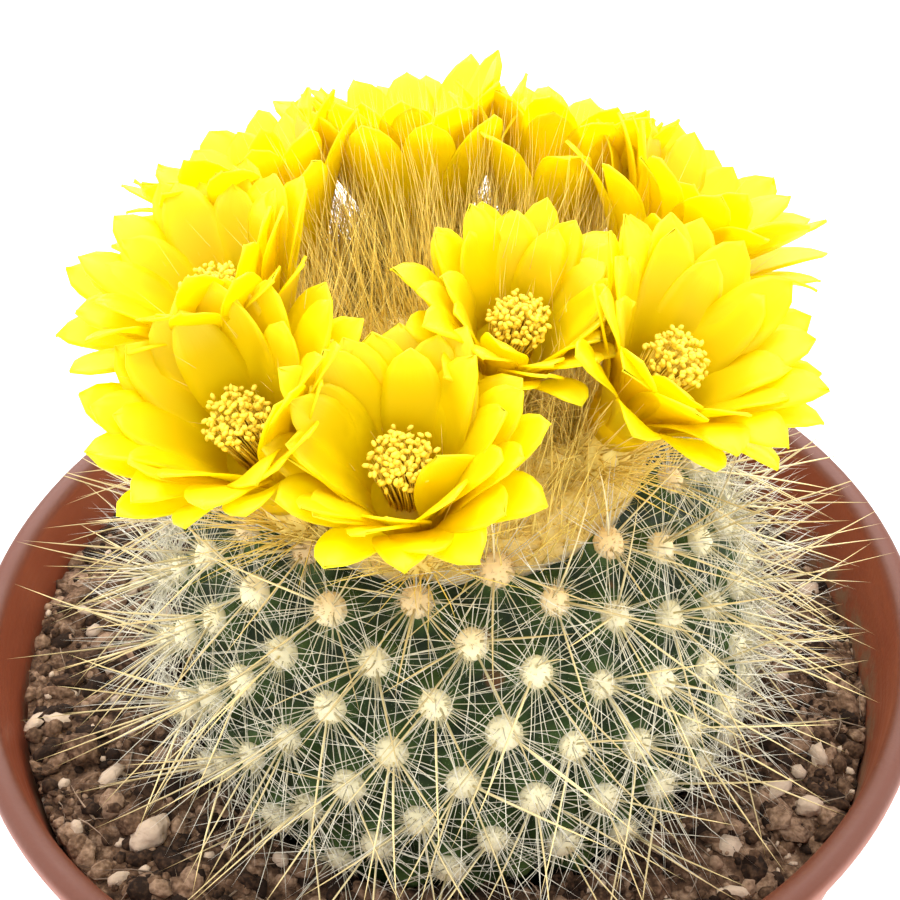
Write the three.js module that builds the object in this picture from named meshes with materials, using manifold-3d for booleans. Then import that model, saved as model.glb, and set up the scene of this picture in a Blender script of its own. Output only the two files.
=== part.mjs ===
// A round cactus in bloom in a nursery pot. Millimetres, +Z up, origin at the middle of the
// pot's flat base.
import * as THREE from 'three';
import { mergeVertices } from 'three/addons/utils/BufferGeometryUtils.js';
import { ConvexGeometry } from 'three/addons/geometries/ConvexGeometry.js';
import Module from 'manifold-3d';

// Driving dimensions of the pot
const POT_HEIGHT = 97;
const RIM_RADIUS = 60;
const BASE_RADIUS = 42.5;
const WALL = 1.4;
const FLOOR = 1.8;
const COLLAR_HEIGHT = 21;
const COLLAR_STEP = 1.8;
const LIP_HEIGHT = 3.6;
const LIP_WIDTH = 3.2;
const POT_SIDES = 36;
const DRAIN_HOLES = 6;
const DRAIN_RADIUS = 4;
const DRAIN_CIRCLE = 30;

// Driving dimensions of the soil
const SOIL_LEVEL = POT_HEIGHT - 11.5;
const SOIL_TILT = 0.06;
const SOIL_LUMP = 1.3;
const CRUMBS = 26;

// Driving dimensions of the plant
const PLANT = new THREE.Vector3(1.5, -1, POT_HEIGHT - 3);
const GLOBE_RADIUS = 36;
const TUBERCLE = 1.2;
const AREOLE_AREA = 54;
const SKIN_START = 44;
const SKIN_END = 112;
const SPINES_END = 98;
const TAPROOT_LENGTH = 26;
const TAPROOT_RADIUS = 7;
const CENTRAL_SPINE = { length: 17, spread: 0.42, start: 0 };
const RADIAL_SPINE = { length: 8.5, spread: 1.5, start: 2.1 };
const SPINE_RADIUS = 0.42;
const SPINE_ROOT = 1.6;
const WOOL_THICKNESS = 4.6;
const WOOL_EDGE = 40;
const WOOL_BRISTLES = 44;
const BRISTLE_LENGTHS = [12, 8.5, 5.5];

// Driving dimensions of a flower
const PETAL_THICKNESS = 0.7;
const OUTER_PETALS = 9;
const INNER_PETALS = 7;
const OUTER_PETAL = { root: 3.2, drop: 13, length: 20.5, width: 5.6, start: 14, curl: 40 };
const INNER_PETAL = { root: 2.7, drop: 13, length: 19, width: 5, start: 9, curl: 28 };
const LEAST_CURL = -4;
const CURL_STEP = 4;
const PETAL_NOMINAL = 13.2;
const CUP_DEPTH = 7.5;
const CUP_FOOT = 14.4;
const CUP_FLARE = 2;
const CUP_RADIUS = 4;
const CUP_SIDES = 9;
const TUBE_RADIUS = 3.3;
const TUBE_SUNK = 9;
const FUNNEL_WAIST = 11;
const FUNNEL_MOUTH = 10.2;
const STAMENS = 9;
const STAMEN_CORE = { foot: 1.5, head: 2.4, headDepth: 2.8, topDepth: 1.6 };
const ANTHER = { depth: 5.5, shortest: 4.6, longest: 6.2, radius: 0.5 };
const NEIGHBOUR_REACH = 30;
const INNER_MARGIN = 1.6;

// Clearance between neighbouring pieces, and the more that the faceted balls need, because their
// facets cut into them
const GAP = 0.32;
const FACET_CUT = 0.65;

// Where each flower stands: the azimuth and the distance from the crown's axis of its foot, the
// tilt and azimuth of its own axis, its length from the globe to the stamens' tops, its radius,
// which its petals and cup follow
const FLOWERS = [
  { foot: [-101, 20.5], tilt: 18, lean: -100, length: 20, radius: 13.2 },
  { foot: [-138, 21], tilt: 22, lean: -137, length: 22, radius: 13.8 },
  { foot: [-176, 17], tilt: 20, lean: -168, length: 24, radius: 13.8 },
  { foot: [137, 19], tilt: 28, lean: 139, length: 24.5, radius: 14.6 },
  { foot: [96, 20], tilt: 16, lean: 94, length: 25.5, radius: 15.2 },
  { foot: [61, 20], tilt: 26, lean: 59, length: 24.5, radius: 14.6 },
  { foot: [25, 19], tilt: 31, lean: 17, length: 24, radius: 14.2 },
  { foot: [-31, 17], tilt: 30, lean: -33, length: 21.8, radius: 13.4 },
  { foot: [-52, 6], tilt: 21, lean: -53, length: 19, radius: 11.4 },
];

const COLOURS = {
  pot: 0xb8603c,
  soil: 0x7d6248,
  stem: 0x55692f,
  wool: 0xd9b36a,
  tube: 0xcfa258,
  petals: 0xf2cf05,
  stamens: 0xf0dc6c,
};

const wasm = await Module();
wasm.setup();

const group = new THREE.Group();
const radians = THREE.MathUtils.degToRad;
const turn = Math.PI * 2;
const goldenAngle = Math.PI * (3 - Math.sqrt(5));

// A repeatable draw between low and high
function dice(seed) {
  let state = seed;
  return (low = 0, high = 1) => {
    state = (state * 1664525 + 1013904223) % 4294967296;
    return low + (high - low) * (state / 4294967296);
  };
}

// A closed solid from points and triangles
function solidFrom(points, triangles) {
  const positions = new Float32Array(points.flatMap((p) => [p.x, p.y, p.z]));
  const mesh = new wasm.Mesh({ numProp: 3, vertProperties: positions, triVerts: new Uint32Array(triangles) });
  return new wasm.Manifold(mesh);
}

// A closed solid from a three.js geometry, with its doubled vertices merged
function solid(source) {
  const geometry = source.clone();
  geometry.deleteAttribute('normal');
  geometry.deleteAttribute('uv');
  const merged = mergeVertices(geometry, 1e-4);
  const place = merged.getAttribute('position');
  const points = [];
  for (let i = 0; i < place.count; i++) points.push(new THREE.Vector3().fromBufferAttribute(place, i));
  const index = merged.getIndex().array;
  const triangles = [];
  for (let i = 0; i < index.length; i += 3) {
    const [a, b, c] = [index[i], index[i + 1], index[i + 2]];
    if (a !== b && b !== c && c !== a) triangles.push(a, b, c);
  }
  return solidFrom(points, triangles);
}

// A solid turned round +Z from a profile of [radius, height] points that runs from the axis,
// along the outside from bottom to top, and back to the axis
function turned(profile, sides) {
  const points = profile.map(([radius, height]) => new THREE.Vector2(radius, height));
  return solid(new THREE.LatheGeometry(points, sides).rotateX(Math.PI / 2));
}

// A solid from rings of points, closed by one point below and one above; each ring has the same
// number of points, anticlockwise seen from above
function ringed(bottom, rings, top) {
  const sides = rings[0].length;
  const points = [bottom, ...rings.flat(), top];
  const last = points.length - 1;
  const triangles = [];
  for (let j = 0; j < sides; j++) {
    const next = (j + 1) % sides;
    triangles.push(0, 1 + next, 1 + j);
    for (let i = 0; i + 1 < rings.length; i++) {
      const low = 1 + i * sides;
      const high = low + sides;
      triangles.push(low + j, low + next, high + next, low + j, high + next, high + j);
    }
    triangles.push(last, last - sides + j, last - sides + next);
  }
  return solidFrom(points, triangles);
}

function addMesh(name, shape, colour, roughness) {
  const { vertProperties, triVerts, numProp } = shape.getMesh();
  const geometry = new THREE.BufferGeometry();
  const positions = new Float32Array((vertProperties.length / numProp) * 3);
  for (let i = 0; i < positions.length / 3; i++) {
    for (let axis = 0; axis < 3; axis++) positions[i * 3 + axis] = vertProperties[i * numProp + axis];
  }
  geometry.setAttribute('position', new THREE.BufferAttribute(positions, 3));
  geometry.setIndex(new THREE.BufferAttribute(new Uint32Array(triVerts), 1));
  geometry.computeVertexNormals();
  const look = { color: colour, roughness, metalness: 0, flatShading: true };
  const material = new THREE.MeshStandardMaterial(look);
  const mesh = new THREE.Mesh(geometry, material);
  mesh.name = name;
  group.add(mesh);
}

// The frame of a direction: two unit vectors square to it
function square(direction) {
  const away = Math.abs(direction.z) > 0.9 ? new THREE.Vector3(1, 0, 0) : new THREE.Vector3(0, 0, 1);
  const side = new THREE.Vector3().crossVectors(away, direction).normalize();
  return [side, new THREE.Vector3().crossVectors(direction, side)];
}

// A three-sided needle from its root to its tip
function needle(root, direction, length, radius, twist) {
  const [side, up] = square(direction);
  const points = [0, 1, 2].map((third) => {
    const angle = twist + (third * turn) / 3;
    const corner = root.clone().addScaledVector(side, radius * Math.cos(angle));
    return corner.addScaledVector(up, radius * Math.sin(angle));
  });
  points.push(root.clone().addScaledVector(direction, length));
  return solidFrom(points, [0, 2, 1, 0, 1, 3, 1, 2, 3, 2, 0, 3]);
}

// Pot: a thin moulded shell with a collar band, a rolled lip and drain holes round its floor
const shoulderRadius = RIM_RADIUS - 6;
const wallSlope = (shoulderRadius - BASE_RADIUS) / (POT_HEIGHT - COLLAR_HEIGHT);
const outerWall = (height) => BASE_RADIUS + wallSlope * height;
const collarFoot = POT_HEIGHT - COLLAR_HEIGHT;
const collarRadius = shoulderRadius + COLLAR_STEP;
const floorRadius = outerWall(FLOOR) - WALL;
const lipFoot = POT_HEIGHT - LIP_HEIGHT;
const mouthRadius = RIM_RADIUS - LIP_WIDTH;

function makePot() {
  const profile = [
    [0, 0],
    [BASE_RADIUS - 1, 0],
    [outerWall(1.2), 1.2],
    [outerWall(collarFoot - 1.5), collarFoot - 1.5],
    [collarRadius, collarFoot],
    [mouthRadius + 0.6, lipFoot],
    [RIM_RADIUS - 0.6, lipFoot + 0.8],
    [RIM_RADIUS, POT_HEIGHT - 1.6],
    [RIM_RADIUS - 0.5, POT_HEIGHT - 0.4],
    [RIM_RADIUS - 1.5, POT_HEIGHT],
    [RIM_RADIUS - 2.5, POT_HEIGHT - 0.6],
    [mouthRadius, lipFoot + 1.4],
    [collarRadius - WALL, collarFoot + 1.2],
    [shoulderRadius - WALL, collarFoot - 1],
    [floorRadius, FLOOR + 1.2],
    [floorRadius - 1.2, FLOOR],
    [0, FLOOR],
  ];
  let pot = turned(profile, POT_SIDES);
  for (let hole = 0; hole < DRAIN_HOLES; hole++) {
    const angle = (turn * (hole + 0.5)) / DRAIN_HOLES;
    const drill = new THREE.CylinderGeometry(DRAIN_RADIUS, DRAIN_RADIUS, 6, 12).rotateX(Math.PI / 2);
    drill.translate(DRAIN_CIRCLE * Math.cos(angle), DRAIN_CIRCLE * Math.sin(angle), 0);
    pot = pot.subtract(solid(drill));
  }
  return pot;
}

// The inside radius of the pot at a height above its floor
function innerWall(height) {
  const { lerp, clamp, inverseLerp } = THREE.MathUtils;
  if (height < collarFoot - 1) {
    const along = clamp(inverseLerp(FLOOR + 1.2, collarFoot - 1, height), 0, 1);
    return lerp(floorRadius, shoulderRadius - WALL, along);
  }
  const along = clamp(inverseLerp(collarFoot + 1.2, lipFoot + 1.4, height), 0, 1);
  return lerp(collarRadius - WALL, mouthRadius, along);
}

// Soil: a loose gritty filling with crumbs and bark chips on top, higher at one side, with a
// plain hole for the stem
function soilHeight(x, y) {
  const lumps = Math.sin(x * 0.31 + 1.3) * Math.cos(y * 0.27 + 0.4) + 0.6 * Math.sin(x * 0.13 - y * 0.53);
  return SOIL_LEVEL - SOIL_TILT * x + SOIL_LUMP * 0.5 * lumps;
}

function makeSoil(stemHole) {
  const bottom = FLOOR + GAP;
  const shoulder = collarFoot - 1.4;
  const ring = (radius, height) => {
    const points = [];
    for (let j = 0; j < POT_SIDES; j++) {
      const angle = (turn * j) / POT_SIDES;
      const [x, y] = [radius * Math.cos(angle), radius * Math.sin(angle)];
      points.push(new THREE.Vector3(x, y, height === undefined ? soilHeight(x, y) : height));
    }
    return points;
  };
  const edge = SOIL_LEVEL - 5;
  const edgeRadius = innerWall(edge) - GAP * 1.3;
  const rings = [
    ring(floorRadius - 1.6 - GAP, bottom),
    ring(innerWall(bottom + 1.5) - GAP, bottom + 1.5),
    ring(innerWall(shoulder) - GAP, shoulder),
    ring(edgeRadius, edge),
  ];
  for (const radius of [edgeRadius, 48, 38]) rings.push(ring(radius));
  const middle = (height) => new THREE.Vector3(0, 0, height);
  let soil = ringed(middle(bottom), rings, middle(SOIL_LEVEL));
  const draw = dice(11);
  for (let i = 0; i < CRUMBS; i++) {
    const angle = i * goldenAngle + draw(0, 0.5);
    const size = draw(1.3, 2.6);
    const radius = draw(41.5, 53 - size);
    const [x, y] = [radius * Math.cos(angle), radius * Math.sin(angle)];
    const crumb = new THREE.OctahedronGeometry(1, 0).scale(size * draw(0.8, 1.3), size * 0.9, size * 0.75);
    crumb.rotateX(draw(0, 0.8)).rotateY(draw(0, 0.8)).rotateZ(draw(0, turn));
    crumb.translate(x, y, soilHeight(x, y) + size * 0.15);
    soil = soil.add(solid(crumb));
  }
  return largest(soil.subtract(stemHole));
}

// Stem: a globe covered with tubercles set along golden-angle spirals, on a tap root, with the
// longest spines of each areole grown into it
const areoleStep = AREOLE_AREA / (turn * GLOBE_RADIUS * GLOBE_RADIUS);

function onGlobe(polar, azimuth, radius) {
  const flat = radius * Math.sin(polar);
  const height = radius * Math.cos(polar);
  const point = new THREE.Vector3(flat * Math.cos(azimuth), flat * Math.sin(azimuth), height);
  return point.add(PLANT);
}

function listAreoles() {
  const areoles = [];
  for (let i = 0; ; i++) {
    const polar = Math.acos(1 - (i + 0.5) * areoleStep);
    if (polar > radians(SKIN_END)) return areoles;
    const raised = polar > radians(SKIN_START) && polar < radians(SKIN_END - 8);
    areoles.push({ polar, azimuth: -i * goldenAngle, raised });
  }
}

// Triangles from the first corner of an outline to all its others; a corner may be missing
function fan(outline) {
  const corners = outline.filter((corner) => corner !== undefined);
  return corners.slice(2).flatMap((corner, i) => [corners[0], corners[i + 1], corner]);
}

function makeGlobe(areoles) {
  const points = areoles.map(({ polar, azimuth }) => onGlobe(polar, azimuth, GLOBE_RADIUS));
  const raised = areoles.map((areole) => areole.raised);
  const plainRings = [[118, 24], [130, 20], [145, 14], [162, 8]];
  for (const [polar, count] of plainRings) {
    for (let j = 0; j < count; j++) points.push(onGlobe(radians(polar), (turn * j) / count, GLOBE_RADIUS));
  }
  points.push(onGlobe(Math.PI, 0, GLOBE_RADIUS));
  const nearest = (corner) => {
    const distances = points.map((point) => point.distanceToSquared(corner));
    return distances.indexOf(Math.min(...distances));
  };
  const hull = new ConvexGeometry(points.map((point) => point.clone())).getAttribute('position');
  const corners = [];
  for (let i = 0; i < hull.count; i++) {
    corners.push(nearest(new THREE.Vector3().fromBufferAttribute(hull, i)));
  }
  const out = points.map((point, index) => {
    return moved(point, raised[index] ? GLOBE_RADIUS + TUBERCLE : GLOBE_RADIUS);
  });
  const middles = new Map();
  const middleOf = (a, b) => {
    if (!raised[a] || !raised[b]) return [];
    const name = a < b ? `${a},${b}` : `${b},${a}`;
    if (!middles.has(name)) {
      middles.set(name, out.length);
      const between = points[a].clone().lerp(points[b], 0.5);
      out.push(moved(between, GLOBE_RADIUS - TUBERCLE * 0.6));
    }
    return [middles.get(name)];
  };
  const triangles = [];
  for (let i = 0; i < corners.length; i += 3) {
    const [a, b, c] = corners.slice(i, i + 3);
    const [[ab], [bc], [ca]] = [middleOf(a, b), middleOf(b, c), middleOf(c, a)];
    if (ab && bc && ca) triangles.push(a, ab, ca, ab, b, bc, bc, c, ca, ab, bc, ca);
    else if (ab) triangles.push(...fan([ab, b, bc, c, ca, a]));
    else if (bc) triangles.push(...fan([bc, c, ca, a, b]));
    else if (ca) triangles.push(...fan([ca, a, b, c]));
    else triangles.push(a, b, c);
  }
  return solidFrom(out, triangles);
}

// The point of the globe in the same direction, at another radius
function moved(point, radius) {
  return point.clone().sub(PLANT).setLength(radius).add(PLANT);
}

function makeTaproot(extra) {
  const top = -GLOBE_RADIUS + 6;
  const root = turned([
    [0, -GLOBE_RADIUS - TAPROOT_LENGTH - extra],
    [1.5 + extra, -GLOBE_RADIUS - TAPROOT_LENGTH - extra],
    [TAPROOT_RADIUS * 0.55 + extra, -GLOBE_RADIUS - TAPROOT_LENGTH * 0.55],
    [TAPROOT_RADIUS + extra, -GLOBE_RADIUS - 3],
    [TAPROOT_RADIUS * 2 + extra, top],
    [0, top],
  ], 12);
  return root.translate(PLANT.x, PLANT.y, PLANT.z);
}

// A smooth ball round the globe's middle, used to cut seats for what lies on the globe
function makeBall(radius, sides) {
  const profile = [];
  for (let i = 0; i <= sides / 2; i++) {
    const polar = Math.PI - (turn * i) / sides;
    const pole = i === 0 || i === sides / 2;
    profile.push([pole ? 0 : radius * Math.sin(polar), radius * Math.cos(polar)]);
  }
  return turned(profile, sides).translate(PLANT.x, PLANT.y, PLANT.z);
}

// The spine leans over from its first direction, a step at a time, until a thick needle laid
// along it is clear of everything round the stem
function growSpine(root, normal, direction, length, obstacles, draw) {
  const away = direction.clone();
  for (let step = 0; step < 10; step++) {
    const start = root.clone().addScaledVector(away, SPINE_ROOT + 1.5);
    const feeler = needle(start, away, length + 1, SPINE_RADIUS * 3.2, 0);
    if (feeler.intersect(obstacles).isEmpty()) {
      const sunk = root.clone().addScaledVector(away, -SPINE_ROOT * 0.4);
      sunk.addScaledVector(normal, -SPINE_ROOT * 0.6);
      return needle(sunk, away, length + SPINE_ROOT, SPINE_RADIUS, draw(0, turn));
    }
    away.lerp(normal, 0.18).normalize();
  }
  return null;
}

function makeStem(areoles, obstacles) {
  let stem = makeGlobe(areoles).add(makeTaproot(0));
  const draw = dice(23);
  areoles.forEach(({ polar, azimuth, raised }, index) => {
    if (!raised || polar > radians(SPINES_END)) return;
    const normal = onGlobe(polar, azimuth, 1).sub(PLANT);
    const root = onGlobe(polar, azimuth, GLOBE_RADIUS + TUBERCLE);
    const [side, up] = square(normal);
    const spines = index % 2 ? [CENTRAL_SPINE] : [CENTRAL_SPINE, RADIAL_SPINE];
    for (const { length, spread, start } of spines) {
      const angle = index * goldenAngle * 1.7 + start + draw(0, 1);
      const direction = normal.clone().addScaledVector(side, spread * Math.cos(angle));
      direction.addScaledVector(up, spread * Math.sin(angle)).normalize();
      const spine = growSpine(root, normal, direction, length * draw(0.85, 1.1), obstacles, draw);
      if (spine) stem = stem.add(spine);
    }
  });
  return stem;
}

// The frame of a flower: +Z along its axis, the origin at its foot on the globe
function flowerFrame({ foot: [azimuth, distance], tilt, lean }, index) {
  const height = Math.sqrt(GLOBE_RADIUS ** 2 - distance ** 2);
  const angle = radians(azimuth);
  const foot = new THREE.Vector3(distance * Math.cos(angle), distance * Math.sin(angle), height).add(PLANT);
  const [flat, heading] = [Math.sin(radians(tilt)), radians(lean)];
  const axis = new THREE.Vector3(flat * Math.cos(heading), flat * Math.sin(heading), Math.cos(radians(tilt)));
  const [side, up] = square(axis);
  const spin = new THREE.Matrix4().makeRotationZ(index * goldenAngle);
  return new THREE.Matrix4().makeBasis(side, up, axis).setPosition(foot).multiply(spin);
}

// The main body of a shape, without the scraps that a cut leaves loose
function largest(shape) {
  const bodies = shape.decompose();
  return bodies.reduce((best, body) => (body.volume() > best.volume() ? body : best));
}

function placed(shape, frame) {
  return shape.transform(frame.elements.slice());
}

// The planes half way between a flower's face and its neighbours' faces
function dividers(flowers, index) {
  const centres = flowers.map(({ frame, length }) => new THREE.Vector3(0, 0, length).applyMatrix4(frame));
  const planes = [];
  centres.forEach((centre, other) => {
    if (other === index) return;
    const normal = centre.clone().sub(centres[index]);
    if (normal.length() > NEIGHBOUR_REACH) return;
    const middle = centre.clone().lerp(centres[index], 0.5);
    planes.push({ normal: normal.normalize(), middle });
  });
  return planes;
}

// The sections of a petal along its middle line: how far along, and how much of its full width
const PETAL_SECTIONS = [[0, 0.3], [0.5, 1], [0.8, 0.74], [1, 0]];

// The corners of a petal in the flower's frame: left edge, right edge and keel of each section,
// and the tip
function petalPoints(form, flower, azimuth, curl) {
  const points = [];
  const across = new THREE.Vector3(-Math.sin(azimuth), Math.cos(azimuth), 0);
  const outward = new THREE.Vector3(Math.cos(azimuth), Math.sin(azimuth), 0);
  const middle = outward.clone().multiplyScalar(form.root);
  middle.z = flower.length - form.drop * flower.size;
  let before = 0;
  for (const [along, share] of PETAL_SECTIONS) {
    const angle = radians(form.start + curl * along);
    const step = (along - before) * form.length * flower.size;
    before = along;
    middle.addScaledVector(outward, step * Math.sin(angle));
    middle.z += step * Math.cos(angle);
    const back = outward.clone().multiplyScalar(Math.cos(angle));
    back.z = -Math.sin(angle);
    const half = (form.width * share) / 2;
    if (half === 0) {
      points.push(middle.clone());
      continue;
    }
    points.push(middle.clone().addScaledVector(across, half), middle.clone().addScaledVector(across, -half));
    points.push(middle.clone().addScaledVector(back, PETAL_THICKNESS));
  }
  return points;
}

function petalSolid(points) {
  const triangles = [0, 2, 1];
  const tip = points.length - 1;
  for (let first = 0; first < tip; first += 3) {
    for (let corner = 0; corner < 3; corner++) {
      const [here, beside] = [first + corner, first + ((corner + 1) % 3)];
      if (first + 3 === tip) triangles.push(here, beside, tip);
      else triangles.push(here, beside, here + 3, beside, beside + 3, here + 3);
    }
  }
  return solidFrom(points, triangles);
}

// A petal curls outwards as far as the next flowers leave it room
function growPetal(flower, form, azimuth, planes, margin) {
  for (let curl = form.curl; ; curl -= CURL_STEP) {
    const points = petalPoints(form, flower, azimuth, curl);
    const clear = points.every((point) => {
      const world = point.clone().applyMatrix4(flower.frame);
      return planes.every(({ normal, middle }) => world.clone().sub(middle).dot(normal) < -margin);
    });
    if (clear || curl < LEAST_CURL) return petalSolid(points);
  }
}

const cupFloor = (flower) => flower.length - CUP_DEPTH * flower.size;
const cupFoot = (flower) => flower.length - CUP_FOOT * flower.size;

function makePetals(flower, planes, draw) {
  const top = cupFloor(flower);
  const bottom = cupFoot(flower);
  let petals = turned([
    [0, bottom],
    [TUBE_RADIUS, bottom],
    [CUP_RADIUS, bottom + CUP_FLARE],
    [CUP_RADIUS, top],
    [0, top],
  ], CUP_SIDES);
  for (let i = 0; i < OUTER_PETALS; i++) {
    const azimuth = (turn * (i + draw(-0.1, 0.1))) / OUTER_PETALS;
    petals = petals.add(growPetal(flower, OUTER_PETAL, azimuth, planes, GAP * 0.6));
  }
  for (let i = 0; i < INNER_PETALS; i++) {
    const azimuth = (turn * (i + 0.5 + draw(-0.1, 0.1))) / INNER_PETALS;
    petals = petals.add(growPetal(flower, INNER_PETAL, azimuth, planes, INNER_MARGIN));
  }
  return placed(petals, flower.frame);
}

function makeStamens(flower, draw) {
  const floor = cupFloor(flower) + GAP;
  let stamens = turned([
    [0, floor],
    [STAMEN_CORE.foot, floor],
    [STAMEN_CORE.head, flower.length - STAMEN_CORE.headDepth],
    [0, flower.length - STAMEN_CORE.topDepth],
  ], 6);
  for (let i = 0; i < STAMENS; i++) {
    const azimuth = i * goldenAngle;
    const spread = 0.12 + 0.3 * Math.sqrt(i / STAMENS);
    const direction = new THREE.Vector3(spread * Math.cos(azimuth), spread * Math.sin(azimuth), 1);
    direction.normalize();
    const root = new THREE.Vector3(Math.cos(azimuth), Math.sin(azimuth), 0).multiplyScalar(0.9 + spread);
    root.z = flower.length - ANTHER.depth;
    const length = draw(ANTHER.shortest, ANTHER.longest);
    stamens = stamens.add(needle(root, direction, length, ANTHER.radius, azimuth));
  }
  return placed(stamens, flower.frame);
}

const tubeTop = (flower) => cupFoot(flower) - GAP;

// A flower tube, wider by a clearance where it cuts its socket in the wool
function tubeShape(flower, extra) {
  const top = tubeTop(flower);
  return placed(turned([
    [0, -TUBE_SUNK],
    [TUBE_RADIUS * 0.85 + extra, -TUBE_SUNK],
    [TUBE_RADIUS * 1.1 + extra, Math.min(3, top * 0.6)],
    [TUBE_RADIUS + extra, top],
    [0, top],
  ], CUP_SIDES), flower.frame);
}

// The room that a funnel of petals needs in the wool round it
function funnelSocket(flower) {
  const top = tubeTop(flower);
  return placed(turned([
    [0, top - GAP],
    [CUP_RADIUS + GAP, top - GAP],
    [CUP_RADIUS + PETAL_THICKNESS + 2 * GAP, flower.length - FUNNEL_WAIST * flower.size],
    [FUNNEL_MOUTH, flower.length - 1],
    [0, flower.length - 1],
  ], CUP_SIDES), flower.frame);
}

// Crown wool: a lobed cushion over the crown, thinning out to its edge, with the flower tubes in
// sockets and long bristles between them
function makeWool(seat, sockets, petals) {
  const tuft = dice(7);
  const sides = 22;
  const polars = [WOOL_EDGE, 35, 28, 20, 10];
  const ring = (polar) => {
    const thin = 1 - (polar / WOOL_EDGE) ** 2.2;
    return Array.from({ length: sides }, (_, j) => {
      const azimuth = (turn * j) / sides;
      const lobe = 1 + 0.2 * Math.sin(azimuth * 6 + polar) + 0.16 * Math.cos(azimuth * 10 - polar * 0.7);
      const raised = WOOL_THICKNESS * thin * lobe * tuft(0.75, 1.25);
      return onGlobe(radians(polar), azimuth, GLOBE_RADIUS + 0.2 + raised);
    });
  };
  const inside = onGlobe(0, 0, GLOBE_RADIUS * 0.4);
  let wool = ringed(inside, polars.map(ring), onGlobe(0, 0, GLOBE_RADIUS + WOOL_THICKNESS));
  wool = wool.subtract(seat);
  const draw = dice(41);
  const obstacles = sockets.add(petals);
  for (let i = 0; i < WOOL_BRISTLES; i++) {
    const polar = radians(6 + 32 * Math.sqrt((i + 0.5) / WOOL_BRISTLES));
    const azimuth = i * goldenAngle;
    const normal = onGlobe(polar, azimuth, 1).sub(PLANT);
    const root = onGlobe(polar, azimuth, GLOBE_RADIUS + 1.8);
    const lean = new THREE.Vector3(draw(-0.25, 0.25), draw(-0.25, 0.25), draw(0, 0.3));
    const direction = normal.clone().add(lean).normalize();
    const grown = BRISTLE_LENGTHS.map((reach) => growSpine(root, normal, direction, reach, obstacles, draw));
    const longest = grown.find((bristle) => bristle !== null);
    if (longest) wool = wool.add(longest);
  }
  return largest(wool.subtract(sockets));
}

// Everything that lies round the stem is made first, so that the spines can be grown clear of it
const areoles = listAreoles();
const stemHole = makeBall(GLOBE_RADIUS + TUBERCLE + GAP + FACET_CUT, 24).add(makeTaproot(GAP + 0.1));
const seat = makeBall(GLOBE_RADIUS + GAP + FACET_CUT, 22);
const pot = makePot();
const soil = makeSoil(stemHole);

const flowers = FLOWERS.map((flower, index) => {
  return { ...flower, size: flower.radius / PETAL_NOMINAL, frame: flowerFrame(flower, index) };
});
const blooms = flowers.map((flower, index) => {
  const draw = dice(100 + index);
  return {
    petals: makePetals(flower, dividers(flowers, index), draw),
    stamens: makeStamens(flower, draw),
    tube: tubeShape(flower, 0).subtract(seat),
    socket: tubeShape(flower, GAP).add(funnelSocket(flower)),
  };
});
const sockets = blooms.map((bloom) => bloom.socket).reduce((all, socket) => all.add(socket));
const heads = blooms.map((bloom) => bloom.petals).reduce((all, petals) => all.add(petals));
const wool = makeWool(seat, sockets, heads);
const stem = makeStem(areoles, pot.add(soil).add(wool).add(heads).add(sockets));

addMesh('pot', pot, COLOURS.pot, 0.45);
addMesh('soil', soil, COLOURS.soil, 1);
addMesh('cactus_stem', stem, COLOURS.stem, 0.7);
addMesh('crown_wool', wool, COLOURS.wool, 0.95);
blooms.forEach((bloom, index) => {
  const number = index + 1;
  addMesh(`flower_${number}_tube`, bloom.tube, COLOURS.tube, 0.9);
  addMesh(`flower_${number}_petals`, bloom.petals, COLOURS.petals, 0.5);
  addMesh(`flower_${number}_stamens`, bloom.stamens, COLOURS.stamens, 0.7);
});

export default group;
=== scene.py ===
# A round cactus in bloom in a nursery pot. Metres, +Z up, origin at the middle of the pot's base.
import math
import random
from collections import namedtuple

import bpy
from mathutils import Matrix, Vector, noise

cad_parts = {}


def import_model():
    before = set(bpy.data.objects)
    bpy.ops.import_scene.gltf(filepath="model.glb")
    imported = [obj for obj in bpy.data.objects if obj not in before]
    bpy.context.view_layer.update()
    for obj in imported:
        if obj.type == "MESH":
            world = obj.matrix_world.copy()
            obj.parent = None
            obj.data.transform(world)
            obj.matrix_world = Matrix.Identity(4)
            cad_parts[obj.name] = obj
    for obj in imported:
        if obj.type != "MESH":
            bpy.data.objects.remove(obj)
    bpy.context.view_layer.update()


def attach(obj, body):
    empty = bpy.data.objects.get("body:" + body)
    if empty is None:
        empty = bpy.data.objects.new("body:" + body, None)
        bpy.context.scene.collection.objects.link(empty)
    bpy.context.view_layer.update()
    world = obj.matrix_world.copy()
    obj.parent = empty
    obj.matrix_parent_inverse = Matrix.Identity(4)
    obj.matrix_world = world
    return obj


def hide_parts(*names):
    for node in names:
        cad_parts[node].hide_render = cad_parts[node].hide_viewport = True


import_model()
mm = 0.001
turn = 2 * math.pi

# Camera
# The photograph looks down on the plant from in front, close by, so the near side of the globe
# looks large and the pot's rim runs out of the picture.
RIM_CENTRE = Vector((0, 0, 97 * mm))
CAMERA_DISTANCE = 187.8 * mm
CAMERA_ELEVATION = 45.19
CAMERA_PAN, CAMERA_TILT, CAMERA_ROLL = -0.47, 5.38, -2.68
CAMERA_LENS = 58

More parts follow.
